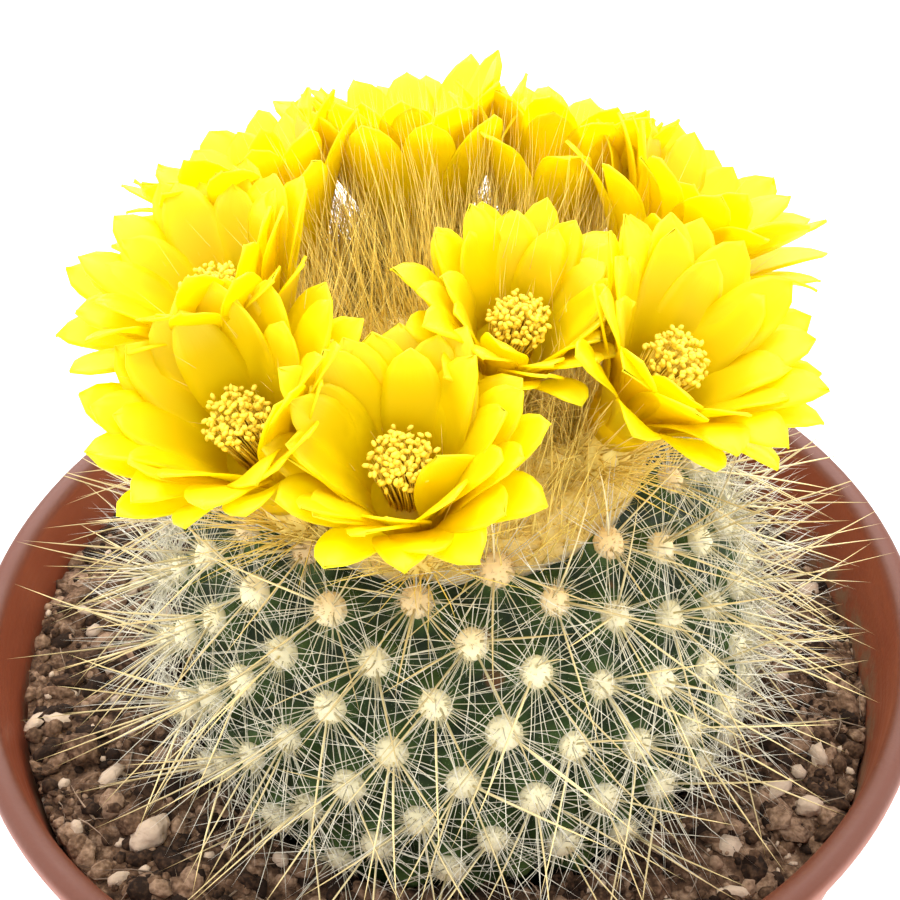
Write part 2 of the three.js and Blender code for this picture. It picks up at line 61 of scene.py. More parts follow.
camera = bpy.data.objects.new("camera", bpy.data.cameras.new("camera"))
camera.data.lens = CAMERA_LENS
camera.data.sensor_width = 36
camera.data.clip_start = 5 * mm
elevation = math.radians(CAMERA_ELEVATION)
camera_place = RIM_CENTRE + CAMERA_DISTANCE * Vector((0, -math.cos(elevation), math.sin(elevation)))
camera.matrix_world = (
    Matrix.Translation(camera_place)
    @ Matrix.Rotation(math.pi / 2 - elevation, 4, "X")
    @ Matrix.Rotation(math.radians(CAMERA_PAN), 4, "Y")
    @ Matrix.Rotation(math.radians(CAMERA_TILT), 4, "X")
    @ Matrix.Rotation(math.radians(CAMERA_ROLL), 4, "Z")
)
bpy.context.scene.collection.objects.link(camera)
bpy.context.scene.camera = camera

# Pot
# A thin moulded shell of terracotta-coloured plastic. Its collar stands out from the wall below
# it, its lip is rolled outwards, and six drain holes stand in a ring in its floor.
POT_HEIGHT = 97 * mm
RIM_RADIUS = 60 * mm
BASE_RADIUS = 42.5 * mm
WALL = 1.4 * mm
FLOOR = 1.8 * mm
COLLAR_FOOT = POT_HEIGHT - 21 * mm
SHOULDER_RADIUS = RIM_RADIUS - 6 * mm
COLLAR_RADIUS = SHOULDER_RADIUS + 1.8 * mm
LIP_FOOT = POT_HEIGHT - 3.6 * mm
MOUTH_RADIUS = RIM_RADIUS - 3.2 * mm
POT_SIDES = 192
DRAIN_HOLES = 6
DRAIN_RADIUS = 4 * mm
DRAIN_CIRCLE = 30 * mm
DRILL_SIDES = 28
PLASTIC = (0.26, 0.06, 0.026)
PLASTIC_WORN = (0.31, 0.085, 0.04)
# The top of the rim: painted shade, darker than the plastic below it
PLASTIC_LIP_SHADE = (0.11, 0.03, 0.015)
SOIL_DUST = (0.23, 0.15, 0.09)


def outer_wall(height):
    return BASE_RADIUS + (SHOULDER_RADIUS - BASE_RADIUS) * height / COLLAR_FOOT


FLOOR_RADIUS = outer_wall(FLOOR) - WALL


def inner_wall(height):
    if height < COLLAR_FOOT - mm:
        along = (height - FLOOR - 1.2 * mm) / (COLLAR_FOOT - FLOOR - 2.2 * mm)
        low, high = FLOOR_RADIUS, SHOULDER_RADIUS - WALL
    else:
        along = (height - COLLAR_FOOT - 1.2 * mm) / (LIP_FOOT - COLLAR_FOOT + 0.2 * mm)
        low, high = COLLAR_RADIUS - WALL, MOUTH_RADIUS
    return low + (high - low) * min(max(along, 0), 1)


def add_piece(name, mesh):
    """An object for a mesh whose place is in its points."""
    piece = bpy.data.objects.new(name, mesh)
    bpy.context.scene.collection.objects.link(piece)
    return piece


def turned(name, profile, sides):
    """A closed shell turned round +Z from (radius, height) points, from its lower pole to its
    upper one, outside first."""
    points, rings = [], []
    for radius, height in profile:
        if radius == 0:
            rings.append([len(points)] * sides)
            points.append((0, 0, height))
            continue
        rings.append(range(len(points), len(points) + sides))
        for side in range(sides):
            angle = turn * side / sides
            points.append((radius * math.cos(angle), radius * math.sin(angle), height))
    faces = []
    for low, high in zip(rings, rings[1:]):
        for side in range(sides):
            after = (side + 1) % sides
            corners = [low[side], low[after], high[after], high[side]]
            faces.append(list(dict.fromkeys(corners)))
    mesh = bpy.data.meshes.new(name)
    mesh.from_pydata(points, [], faces)
    mesh.shade_smooth()
    return mesh


def rounded(corner, before, after, radius, steps=4):
    """The points of a profile's corner, rounded off."""
    corner = Vector(corner)
    start = corner + (Vector(before) - corner).normalized() * radius
    end = corner + (Vector(after) - corner).normalized() * radius
    points = []
    for step in range(steps + 1):
        along = step / steps
        point = start.lerp(corner, along).lerp(corner.lerp(end, along), along)
        points.append(tuple(point))
    return points


pot_corners = [
    ((BASE_RADIUS, 0), 0.8),
    ((outer_wall(COLLAR_FOOT) - 0.1 * mm, COLLAR_FOOT - 0.6 * mm), 0.5),
    ((COLLAR_RADIUS, COLLAR_FOOT), 0.6),
    ((MOUTH_RADIUS + 0.6 * mm, LIP_FOOT), 0.5),
    ((RIM_RADIUS, LIP_FOOT + 0.5 * mm), 0.8),
    ((RIM_RADIUS, POT_HEIGHT), 1.5),
    ((MOUTH_RADIUS, POT_HEIGHT), 1.5),
    ((COLLAR_RADIUS - WALL, COLLAR_FOOT + 1.2 * mm), 0.6),
    ((SHOULDER_RADIUS - WALL, COLLAR_FOOT - mm), 0.6),
    ((FLOOR_RADIUS, FLOOR), 1.2),
]
outline = [(0, 0)] + [corner for corner, _ in pot_corners] + [(0, FLOOR)]
pot_profile = [(0, 0)]
for place, (corner, radius) in enumerate(pot_corners, 1):
    pot_profile += rounded(corner, outline[place - 1], outline[place + 1], radius * mm)
pot_profile.append((0, FLOOR))
pot = add_piece("pot_shell", turned("pot shell", pot_profile, POT_SIDES))

# The drain holes: six round drills, cut out of the floor together
drills = add_piece("drills", bpy.data.meshes.new("drills"))
drill_points, drill_faces = [], []
for hole in range(DRAIN_HOLES):
    angle = turn * (hole + 0.5) / DRAIN_HOLES
    low = range(len(drill_points), len(drill_points) + DRILL_SIDES)
    high = range(low.stop, low.stop + DRILL_SIDES)
    for height in (-2 * mm, 4 * mm):
        for side in range(DRILL_SIDES):
            turned_by = turn * side / DRILL_SIDES
            x = DRAIN_CIRCLE * math.cos(angle) + DRAIN_RADIUS * math.cos(turned_by)
            y = DRAIN_CIRCLE * math.sin(angle) + DRAIN_RADIUS * math.sin(turned_by)
            drill_points.append((x, y, height))
    drill_faces += [low[::-1], high]
    for side in range(DRILL_SIDES):
        after = (side + 1) % DRILL_SIDES
        drill_faces.append([low[side], low[after], high[after], high[side]])
drills.data.from_pydata(drill_points, [], drill_faces)
cut = pot.modifiers.new("drain holes", "BOOLEAN")
cut.object = drills
drilled = bpy.data.meshes.new_from_object(pot.evaluated_get(bpy.context.evaluated_depsgraph_get()))
pot.modifiers.remove(cut)
pot.data = drilled
bpy.data.objects.remove(drills)
drilled.set_sharp_from_angle(angle=math.radians(50))


def both_ways(operation):
    """A step of arithmetic with the term before the sign, and with the term after it."""
    def before(term, other):
        return term.tree.calc(operation, term, other)

    def after(term, other):
        return term.tree.calc(operation, other, term)

    return before, after


class Term:
    """A node's output that formulas can be written with."""

    def __init__(self, tree, socket):
        self.tree = tree
        self.socket = socket

    __add__, __radd__ = both_ways("ADD")
    __sub__, __rsub__ = both_ways("SUBTRACT")
    __mul__, __rmul__ = both_ways("MULTIPLY")
    __truediv__, __rtruediv__ = both_ways("DIVIDE")
    __pow__ = both_ways("POWER")[0]

    def output(self, name):
        """Another output of the same node."""
        return Term(self.tree, self.socket.node.outputs[name])


class Tree:
    """A node tree that is written a line at a time. Any input takes a number, a vector, a
    colour, a material or another node's output."""

    def __init__(self, group):
        self.group = group
        self.entry = None

    def put(self, socket, value):
        if isinstance(value, Term):
            self.group.links.new(value.socket, socket)
        elif socket.type == "RGBA":
            socket.default_value = (*value, 1)
        elif socket.type == "VECTOR" and isinstance(value, (int, float)):
            socket.default_value = (value, value, value)
        else:
            socket.default_value = value

    def node(self, kind, **given):
        """Adds a node. Words in small letters are its settings, the others are its inputs."""
        node = self.group.nodes.new(kind)
        for name in [name for name in given if name[0].islower()]:
            setattr(node, name, given.pop(name))
        for name, value in given.items():
            sockets = [s for s in node.inputs if s.enabled and s.name == name.replace("_", " ")]
            self.put(sockets[0], value)
        shown = [socket for socket in node.outputs if socket.enabled]
        return Term(self, shown[0]) if shown else node

    def calc(self, operation, *values):
        """One step of arithmetic, on vectors where one of the values is a vector."""
        vectors = [isinstance(value, Term) and value.socket.type == "VECTOR" for value in values]
        vectors += [isinstance(value, (tuple, Vector)) for value in values]
        node = self.group.nodes.new("ShaderNodeVectorMath" if any(vectors) else "ShaderNodeMath")
        node.operation = operation
        for socket, value in zip(node.inputs, values):
            self.put(socket, value)
        return Term(self, next(socket for socket in node.outputs if socket.enabled))

    def sin(self, angle):
        return self.calc("SINE", angle)

    def cos(self, angle):
        return self.calc("COSINE", angle)

    def unit(self, vector):
        return self.calc("NORMALIZE", vector)

    def above(self, value, limit):
        """1 where the value is more than the limit, and 0 elsewhere."""
        return self.calc("GREATER_THAN", value, limit)

    def under(self, value, limit):
        """1 where the value is less than the limit, and 0 elsewhere."""
        return self.calc("LESS_THAN", value, limit)

    def xyz(self, x, y, z):
        return self.node("ShaderNodeCombineXYZ", X=x, Y=y, Z=z)

    def split(self, vector):
        parts = self.node("ShaderNodeSeparateXYZ", Vector=vector)
        return parts, parts.output("Y"), parts.output("Z")

    def ease(self, value, start, end, low=0.0, high=1.0):
        """A soft step: low at the start, high at the end."""
        return self.node("ShaderNodeMapRange", interpolation_type="SMOOTHSTEP", Value=value,
                         From_Min=start, From_Max=end, To_Min=low, To_Max=high)

    def draw(self, low, high, seed, data_type="FLOAT"):
        """A random number for each element."""
        return self.node("FunctionNodeRandomValue", data_type=data_type, Min=low, Max=high, Seed=seed)

    def draws(self, low, high, seed):
        """A random vector for each element."""
        return self.draw(low, high, seed, "FLOAT_VECTOR")

    def inputs(self, **usual):
        """The tree's named inputs, each with its usual value."""
        kinds = {float: "NodeSocketFloat", int: "NodeSocketInt", tuple: "NodeSocketColor"}
        names = [name.replace("_", " ") for name in usual]
        for name, value in zip(names, usual.values()):
            kind = kinds.get(type(value), "NodeSocketMaterial")
            made = self.group.interface.new_socket(name, in_out="INPUT", socket_type=kind)
            made.default_value = value
        if self.entry is None:
            self.entry = self.group.nodes.new("NodeGroupInput")
        return [Term(self, self.entry.outputs[name]) for name in names]

    def mesh(self):
        """The mesh that the tree is given to work on."""
        return Term(self, self.entry.outputs["Mesh"])

    def store(self, geometry, **values):
        """Keeps numbers and vectors on every point, each under its name."""
        for name, value in values.items():
            vector = isinstance(value, Term) and value.socket.type == "VECTOR"
            geometry = self.node("GeometryNodeStoreNamedAttribute", Geometry=geometry, Name=name,
                                 Value=value, data_type="FLOAT_VECTOR" if vector else "FLOAT")
        return geometry

    def read(self, name, data_type="FLOAT"):
        """A number that was kept on the points."""
        return self.node("GeometryNodeInputNamedAttribute", data_type=data_type, Name=name)

    def arrow(self, name):
        """A vector that was kept on the points."""
        return self.read(name, "FLOAT_VECTOR")

    def position(self):
        return self.node("GeometryNodeInputPosition")

    def normal(self):
        return self.node("GeometryNodeInputNormal")

    def place(self, geometry, position):
        return self.node("GeometryNodeSetPosition", Geometry=geometry, Position=position)

    def shift(self, geometry, offset):
        return self.node("GeometryNodeSetPosition", Geometry=geometry, Offset=offset)

    def facing(self, way):
        """The turn that lays +Z along a vector."""
        return self.node("FunctionNodeAlignRotationToVector", axis="Z", Vector=way)

    def copies(self, points, piece, **turn_and_size):
        """A copy of the piece on every point."""
        return self.node("GeometryNodeInstanceOnPoints", Points=points, Instance=piece, **turn_and_size)

    def scatter(self, where, density, seed):
        """Random points on the given mesh, where it is chosen."""
        return self.node("GeometryNodeDistributePointsOnFaces", Mesh=self.mesh(), Selection=where,
                         Density=density, Seed=seed)

    def real(self, geometry):
        return self.node("GeometryNodeRealizeInstances", Geometry=geometry)

    def join(self, *pieces):
        joined = self.node("GeometryNodeJoinGeometry")
        for piece in pieces:
            self.group.links.new(piece.socket, joined.socket.node.inputs[0])
        return joined

    def spot(self):
        """The place on the object, which a pattern stays with."""
        return self.node("ShaderNodeTexCoord").output("Object")

    def attribute(self, name):
        return self.node("ShaderNodeAttribute", attribute_name=name).output("Fac")

    def noise(self, place, scale, detail, **more):
        return self.node("ShaderNodeTexNoise", Vector=place, Scale=scale, Detail=detail, **more)

    def cells(self, place, scale):
        return self.node("ShaderNodeTexVoronoi", Vector=place, Scale=scale)

    def bump(self, strength, distance, height):
        return self.node("ShaderNodeBump", Strength=strength, Distance=distance, Height=height)

    def mixed(self, factor, low, high):
        return self.node("ShaderNodeMix", data_type="RGBA", Factor=factor, A=low, B=high)

    def ramp(self, factor, stops):
        """A colour ramp through (place, colour) stops."""
        result = self.node("ShaderNodeValToRGB", Fac=factor)
        elements = result.socket.node.color_ramp.elements
        while len(elements) < len(stops):
            elements.new(1)
        for element, (place, colour) in zip(elements, stops):
            element.position = place
            element.color = (*colour, 1)
        return result


def material(name):
    """A material's tree, with its Principled shader left unset."""
    made = bpy.data.materials.new(name)
    made.use_nodes = True
    tree = Tree(made.node_tree)
    return made, tree, made.node_tree.nodes["Principled BSDF"]


def finish_shader(tree, shader, colour, roughness, normal=None, **plain):
    """Sets a Principled shader: its colour, roughness and normal, and plain numbers."""
    tree.put(shader.inputs["Base Color"], colour)
    tree.put(shader.inputs["Roughness"], roughness)
    if normal is not None:
        tree.put(shader.inputs["Normal"], normal)
    for name, value in plain.items():
        shader.inputs[name.replace("_", " ")].default_value = value


plastic, look, shader = material("terracotta plastic")
place = look.spot()
height = look.split(place)[2]
cloud = look.noise(place, 45.0, 2.0)
grain = look.noise(place, 1400.0, 2.0)
scuff = look.noise(place * (60.0, 60.0, 900.0), 1.0, 3.0)
facing = look.node("ShaderNodeNewGeometry").output("Normal")
inside = look.under(look.calc("DOT_PRODUCT", facing, place * (1.0, 1.0, 0.0)), 0.0)
dust_edge = look.ease(height, 93 * mm, 84 * mm) * inside
dust = look.noise(place, 420.0, 3.0, Roughness=0.7)
dusty = look.ease(dust * dust_edge, 0.3, 0.62, 0.0, 0.75)
colour = look.mixed(look.ease(cloud, 0.35, 0.7), PLASTIC, PLASTIC_WORN)
# Painted shade: the top of the rim is darker than the pot's own plastic
colour = look.mixed(look.ease(height, 95.2 * mm, 96.8 * mm), colour, PLASTIC_LIP_SHADE)
colour = look.mixed(dusty, colour, SOIL_DUST)
bump = look.bump(0.25, 0.00015, grain + scuff * 0.6)
finish_shader(look, shader, colour, look.ease(scuff, 0.3, 0.75, 0.42, 0.58), bump, IOR=1.4)
pot.data.materials.append(plastic)

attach(pot, "root")
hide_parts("pot")

# Soil bed
# A dry, loose mix of bark, grit and fibre, filled to a finger's width below the rim and lower on
# the right. The globe and its tap root stand in a plain hole in it.
GAP = 0.32 * mm
SOIL_LEVEL = POT_HEIGHT - 11.5 * mm
SOIL_TILT = 0.06
SOIL_LUMP = 1.3 * mm
PLANT = Vector((1.5, -1, 94)) * mm
GLOBE_RADIUS = 36 * mm
TUBERCLE = 1.2 * mm
TAPROOT_LENGTH = 26 * mm
TAPROOT_RADIUS = 7 * mm
SOIL_DARK = (0.018, 0.009, 0.005)
SOIL_BROWN = (0.1, 0.055, 0.032)
SOIL_TAN = (0.33, 0.215, 0.14)
SOIL_SIDES = 144
TOP_RINGS = 20
# Clods and pebbles to the metre, on the rough top of the bed
CLOD_SCALE = 420
PEBBLE_SCALE = 1100


def soil_height(x, y):
    x, y = x / mm, y / mm
    lumps = math.sin(x * 0.31 + 1.3) * math.cos(y * 0.27 + 0.4)
    lumps += 0.6 * math.sin(x * 0.13 - y * 0.53)
    return SOIL_LEVEL - SOIL_TILT * x * mm + SOIL_LUMP * 0.5 * lumps


def soil_ring(radius, height=None, centre=(0, 0)):
    points = []
    for side in range(SOIL_SIDES):
        angle = turn * side / SOIL_SIDES
        x = centre[0] + radius * math.cos(angle)
        y = centre[1] + radius * math.sin(angle)
        clods = noise.noise(Vector((x, y, 0)) * CLOD_SCALE) * 0.7
        clods += noise.noise(Vector((x, y, 9)) * PEBBLE_SCALE) * 0.35
        level = soil_height(x, y) + clods * mm if height is None else height
        points.append((x, y, level))
    return points


hole_radius = GLOBE_RADIUS + TUBERCLE + GAP
edge = SOIL_LEVEL - 5 * mm
edge_radius = inner_wall(edge) - GAP
rings = [
    soil_ring(FLOOR_RADIUS - 1.6 * mm - GAP, FLOOR + GAP),
    soil_ring(inner_wall(FLOOR + 2 * mm) - GAP, FLOOR + 2 * mm),
    soil_ring(inner_wall(COLLAR_FOOT - 1.4 * mm) - GAP, COLLAR_FOOT - 1.4 * mm),
    soil_ring(edge_radius, edge),
]
for step in range(TOP_RINGS + 1):
    share = step / TOP_RINGS
    radius = edge_radius + (hole_radius - 0.4 * mm - edge_radius) * share
    rings.append(soil_ring(radius, centre=(PLANT.x * share, PLANT.y * share)))
for polar in (112, 122, 134, 146, 158):
    below = PLANT.z + hole_radius * math.cos(math.radians(polar))
    rings.append(soil_ring(hole_radius * math.sin(math.radians(polar)), below, PLANT))
for radius, depth in ((TAPROOT_RADIUS + mm, 4), (TAPROOT_RADIUS * 0.6, 16), (1.9 * mm, 27)):
    rings.append(soil_ring(radius, PLANT.z - GLOBE_RADIUS - depth * mm, PLANT))
points = [(0, 0, FLOOR + GAP)] + [point for ring in rings for point in ring]
points.append((PLANT.x, PLANT.y, PLANT.z - GLOBE_RADIUS - TAPROOT_LENGTH - 1.5 * mm))
faces = []
for side in range(SOIL_SIDES):
    after = (side + 1) % SOIL_SIDES
    faces.append((0, 1 + after, 1 + side))
    for ring in range(len(rings) - 1):
        low, high = 1 + ring * SOIL_SIDES, 1 + (ring + 1) * SOIL_SIDES
        faces.append((low + side, low + after, high + after, high + side))
    last = 1 + (len(rings) - 1) * SOIL_SIDES
    faces.append((last + side, last + after, len(points) - 1))
soil_mesh = bpy.data.meshes.new("soil bed")
soil_mesh.from_pydata(points, [], faces)
soil_mesh.shade_smooth()
soil = add_piece("soil_bed", soil_mesh)

earth, look, shader = material("loose soil")
place = look.spot()
lumps = look.noise(place, 520.0, 4.0, Roughness=0.65)
cells = look.cells(place, 900.0)
colour = look.ramp(lumps, [(0.34, SOIL_DARK), (0.52, SOIL_BROWN), (0.7, SOIL_TAN)])
bump = look.bump(0.9, 0.0007, lumps - cells * 0.6)
finish_shader(look, shader, colour, 0.95, bump, Specular_IOR_Level=0.15)
soil.data.materials.append(earth)

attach(soil, "root")
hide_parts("soil")

# Soil grains
# What lies loose on top of the soil: crumbs, bark chips, pale puffed stone and thin fibres. They
# lie round the plant, from the wall of the pot to under the lowest spines.
CRUMBS = 26
GRAIN_REACH = 54.9 * mm
GRAIN_RING = (37 * mm, 54 * mm)
PALE_SHARE = 0.07
CLEAR_RADIUS = 33 * mm
SOIL_BARK = (0.068, 0.036, 0.02)
SOIL_CHIP = (0.16, 0.092, 0.054)
SOIL_PALE = (0.55, 0.42, 0.31)


def dice(seed):
    """The same repeatable draw as the solids use."""
    state = seed

    def draw(low=0.0, high=1.0):
        nonlocal state
        state = (state * 1664525 + 1013904223) % 4294967296
        return low + (high - low) * state / 4294967296

    return draw


def grow(name, tree, base=None, **sizes):
    """Runs a Geometry Nodes tree with its named inputs and keeps the result as a plain mesh."""
    piece = add_piece(name, base or bpy.data.meshes.new(name))
    modifier = piece.modifiers.new(name, "NODES")
    modifier.node_group = tree.group
    sockets = {item.name: item.identifier for item in tree.group.interface.items_tree}
    for key, value in sizes.items():
        modifier[sockets[key.replace("_", " ")]] = value
    graph = bpy.context.evaluated_depsgraph_get()
    mesh = bpy.data.meshes.new_from_object(
        piece.evaluated_get(graph), preserve_all_data_layers=True, depsgraph=graph)
    piece.modifiers.remove(modifier)
    piece.data = mesh
    return piece


def geometry_tree(name, takes_mesh=False):
    group = bpy.data.node_groups.new(name, "GeometryNodeTree")
    tree = Tree(group)
    if takes_mesh:
        group.interface.new_socket("Mesh", in_out="INPUT", socket_type="NodeSocketGeometry")
        tree.entry = group.nodes.new("NodeGroupInput")
    return tree


def close_tree(tree, geometry, coat):
    """Ends a tree: real geometry, smooth faces, one material."""
    real = tree.real(geometry)
    shaded = tree.node("GeometryNodeSetShadeSmooth", Geometry=real, Shade_Smooth=True)
    coated = tree.node("GeometryNodeSetMaterial", Geometry=shaded, Material=coat)
    tree.group.interface.new_socket("Geometry", in_out="OUTPUT", socket_type="NodeSocketGeometry")
    leave = tree.group.nodes.new("NodeGroupOutput")
    tree.group.links.new(coated.socket, leave.inputs[0])


def needles(tree, points, aim, length, radius, bend, segments=2, fullness=0.0):
    """Thin three-sided needles on points: each follows aim and leans over by bend at its tip. A
    fuller needle tapers late. The attribute along runs from 0 at its root to 1 at its tip."""
    needle = tree.node("GeometryNodeMeshCone", fill_type="NGON", Vertices=3, Side_Segments=segments,
                       Radius_Top=0.0, Radius_Bottom=1.0, Depth=1.0)
    way_x, way_y, climb = tree.split(tree.position())
    needle = tree.store(needle, along=climb)
    swell = climb * fullness
    needle = tree.shift(needle, tree.xyz(way_x * swell, way_y * swell, 0.0))
    points = tree.store(points, bend=bend, shade=tree.draw(0.0, 1.0, 77))
    aimed = tree.facing(aim)
    stood = tree.copies(points, needle, Rotation=aimed, Scale=tree.xyz(radius, radius, length))
    real = tree.real(stood)
    lean = tree.arrow("bend") * tree.read("along") ** 2.0
    return tree.shift(real, lean)


def crimped(tree, geometry, amount, wave):
    """Makes needles curly: their points wander off sideways, more towards the tips."""
    place = tree.position()
    own = tree.read("shade") * 3.0
    wander = tree.noise(place, wave, 1.0, noise_dimensions="4D", W=own).output("Color")
    offset = (wander - (0.5, 0.5, 0.5)) * (tree.read("along") * amount)
    return tree.shift(geometry, offset)


grains = geometry_tree("soil grains", takes_mesh=True)
seed, coat, *amounts, fibre_count = grains.inputs(
    Seed=5, Material=earth, Crumbs=1000, Grit=1000, Chips=1000, Fibres=500)
spot = grains.position()
spot_x, spot_y, spot_z = grains.split(spot)
facing = grains.split(grains.normal())[2]
reach = grains.calc("SQRT", spot_x * spot_x + spot_y * spot_y)
open_top = grains.above(facing, 0.25) * grains.above(reach, CLEAR_RADIUS)
open_top = open_top * grains.above(spot_z, COLLAR_FOOT)
top_area = math.pi * (GRAIN_RING[1] ** 2 - GRAIN_RING[0] ** 2)
kinds = []
for kind, (size, flat, detail) in enumerate(((1.25, 0.8, 2), (0.55, 0.8, 1), (2.0, 0.3, 1))):
    spread = grains.scatter(open_top, amounts[kind] / top_area, seed + kind)
    spread = grains.store(spread, shade=grains.draw(0.0, 1.0, seed + 10 + kind),
                          pale=grains.above(grains.draw(0.0, 1.0, 31 + kind), 1 - PALE_SHARE))
    stone = grains.node("GeometryNodeMeshIcoSphere", Radius=1.0, Subdivisions=detail)
    knocks = grains.noise(grains.position(), 1.7, 2.0).output("Color")
    stone = grains.shift(stone, (knocks - (0.5, 0.5, 0.5)) * 0.9)
    around = grains.draws((-0.5, -0.5, 0.0), (0.5, 0.5, turn), seed + 20 + kind)
    scale = grains.draw(0.35, 1.3, seed + 30 + kind) * (size * mm)
    shape = grains.draws((0.7, 0.6, flat * 0.8), (1.5, 1.0, flat * 1.2), seed + 40 + kind)
    kinds.append(grains.copies(spread, stone, Rotation=around, Scale=shape * scale))
fibre_points = grains.store(grains.scatter(open_top, fibre_count / top_area, seed + 50), pale=0.4)
heading = grains.draw(0.0, turn, 61)
level = grains.xyz(grains.cos(heading), grains.sin(heading), grains.draw(0.0, 0.5, 62))
arch = grains.xyz(grains.draw(-2.5 * mm, 2.5 * mm, 63), grains.draw(-2.5 * mm, 2.5 * mm, 64), -0.8 * mm)
fibres = needles(grains, fibre_points, level, grains.draw(3 * mm, 8 * mm, 65),
                 grains.draw(0.08 * mm, 0.2 * mm, 66), arch, segments=3)
heap = grains.real(grains.join(fibres, *kinds))
place = grains.position()
place_x, place_y, _ = grains.split(place)
reach = grains.calc("SQRT", place_x * place_x + place_y * place_y)
pushed = grains.calc("MINIMUM", GRAIN_REACH / reach, 1.0)
heap = grains.place(heap, place * grains.xyz(pushed, pushed, 1.0))
close_tree(grains, heap, coat)

crumb, look, shader = material("soil grains")
place = look.spot()
shade = look.attribute("shade")
pale = look.attribute("pale")
mottle = look.noise(place, 1500.0, 2.0)
tone = shade * 0.75 + (mottle - 0.5) * 0.9
colour = look.ramp(tone, [(0.1, SOIL_DARK), (0.34, SOIL_BARK), (0.55, SOIL_CHIP), (0.8, SOIL_TAN)])
colour = look.mixed(pale, colour, SOIL_PALE)
bump = look.bump(0.8, 0.0003, mottle)
finish_shader(look, shader, colour, 0.92, bump, Specular_IOR_Level=0.2)

loose = grow("soil_grains", grains, base=soil.data.copy(), Material=crumb, Crumbs=620, Grit=2400,
             Chips=420, Fibres=300)
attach(loose, "root")

# The largest crumbs: clods and lumps of pale puffed stone, placed where the solids have them
bpy.ops.mesh.primitive_ico_sphere_add(subdivisions=3, radius=1)
ball = bpy.context.object
clod_points, clod_faces, clod_pale = [], [], []
draw = dice(11)
golden_angle = math.pi * (3 - math.sqrt(5))
for number in range(CRUMBS):
    angle = number * golden_angle + draw(0, 0.5)
    size = draw(1.3, 2.6) * mm
    radius = draw(41.5, 53 - size / mm) * mm
    stretch = draw(0.8, 1.3)
    pitch, yaw, spin = draw(0, 0.8), draw(0, 0.8), draw(0, turn)
    x, y = radius * math.cos(angle), radius * math.sin(angle)
    rest = Matrix.Translation((x, y, soil_height(x, y) + size * 0.15))
    for turned_by, axis in ((spin, "Z"), (yaw, "Y"), (pitch, "X")):
        rest = rest @ Matrix.Rotation(turned_by, 4, axis)
    rest = rest @ Matrix.Diagonal((size * stretch, size * 0.9, size * 0.75, 1))
    first = len(clod_points)
    for vertex in ball.data.vertices:
        rough = noise.fractal(vertex.co * 1.9 + Vector((number * 7.3, 0, 0)), 1, 2, 4)
        clod_points.append(rest @ (vertex.co * (0.95 + 0.3 * rough)))
        clod_pale.append(float(number % 3 == 0))
    clod_faces += [[first + corner for corner in face.vertices] for face in ball.data.polygons]
bpy.data.objects.remove(ball)
clod_mesh = bpy.data.meshes.new("soil clods")
clod_mesh.from_pydata(clod_points, [], clod_faces)
clod_mesh.shade_smooth()
for name, values in (("pale", clod_pale), ("shade", [0.6] * len(clod_pale))):
    clod_mesh.attributes.new(name, "FLOAT", "POINT").data.foreach_set("value", values)
clod_mesh.materials.append(crumb)
clods = add_piece("soil_clods", clod_mesh)
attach(clods, "root")

# Cactus stem
# One grown globe of deep green skin. Its low tubercles stand along golden-angle spirals, and it
# narrows to a tap root in the soil.
AREOLE_AREA = 54 * mm * mm
FIRST_AREOLE = 30
LAST_AREOLE = 206
LAST_SPINY = 174
AREOLE_STEP = AREOLE_AREA / (turn * GLOBE_RADIUS**2)
TUBERCLE_REACH = 4.55 * mm
# The skin is painted darker in the valleys between tubercles (painted shade) and lighter on their tops
# (painted light)
SKIN_VALLEY_SHADE = (0.009, 0.018, 0.005)
SKIN_GREEN = (0.03, 0.06, 0.012)
SKIN_TOP_LIGHT = (0.07, 0.115, 0.03)
SKIN_PORE = (0.24, 0.3, 0.14)
SKIN_SCAR = (0.2, 0.07, 0.03)


def areole_points(tree, radius, last):
    """The points of the spiral round the globe's middle, from the first areole to the last."""
    cloud = tree.node("GeometryNodePoints", Count=last - FIRST_AREOLE + 1)
    number = tree.node("GeometryNodeInputIndex") + FIRST_AREOLE
    height = 1 - (number + 0.5) * AREOLE_STEP
    flat = tree.calc("SQRT", 1 - height * height)
    azimuth = number * -golden_angle
    way = tree.xyz(flat * tree.cos(azimuth), flat * tree.sin(azimuth), height)
    return tree.place(cloud, way * radius)


skin = geometry_tree("cactus skin")
radius, rise, root, coat = skin.inputs(
    Radius=GLOBE_RADIUS, Tubercle=TUBERCLE, Taproot=TAPROOT_LENGTH, Material=plastic)
globe = skin.node("GeometryNodeMeshIcoSphere", Radius=radius, Subdivisions=7)
spot = skin.position()
nearest = skin.node("GeometryNodeProximity", target_element="POINTS", Sample_Position=spot,
                    Geometry=areole_points(skin, radius, LAST_AREOLE)).output("Distance")
way = skin.unit(spot)
upward = skin.split(way)[2]
wave = skin.cos(math.pi * skin.calc("MINIMUM", nearest / TUBERCLE_REACH, 1.0))
shown = skin.ease(upward, 0.84, 0.76) * skin.ease(upward, -0.42, -0.3)
creases = skin.noise(spot, 700.0, 2.0) - 0.5
# How far each point lies from its areole, which sets the skin's painted shade in the valleys
globe = skin.store(globe, hollow=nearest / TUBERCLE_REACH)
globe = skin.shift(globe, way * (wave * shown * rise + creases * (0.25 * mm)))
tail = skin.ease(upward, -0.8, -1.0)
narrow = skin.xyz(1 - tail * 0.5, 1 - tail * 0.5, 1.0)
drop = skin.xyz(0.0, 0.0, root * -1.0) * tail
globe = skin.place(globe, skin.position() * narrow + drop)
close_tree(skin, globe, coat)

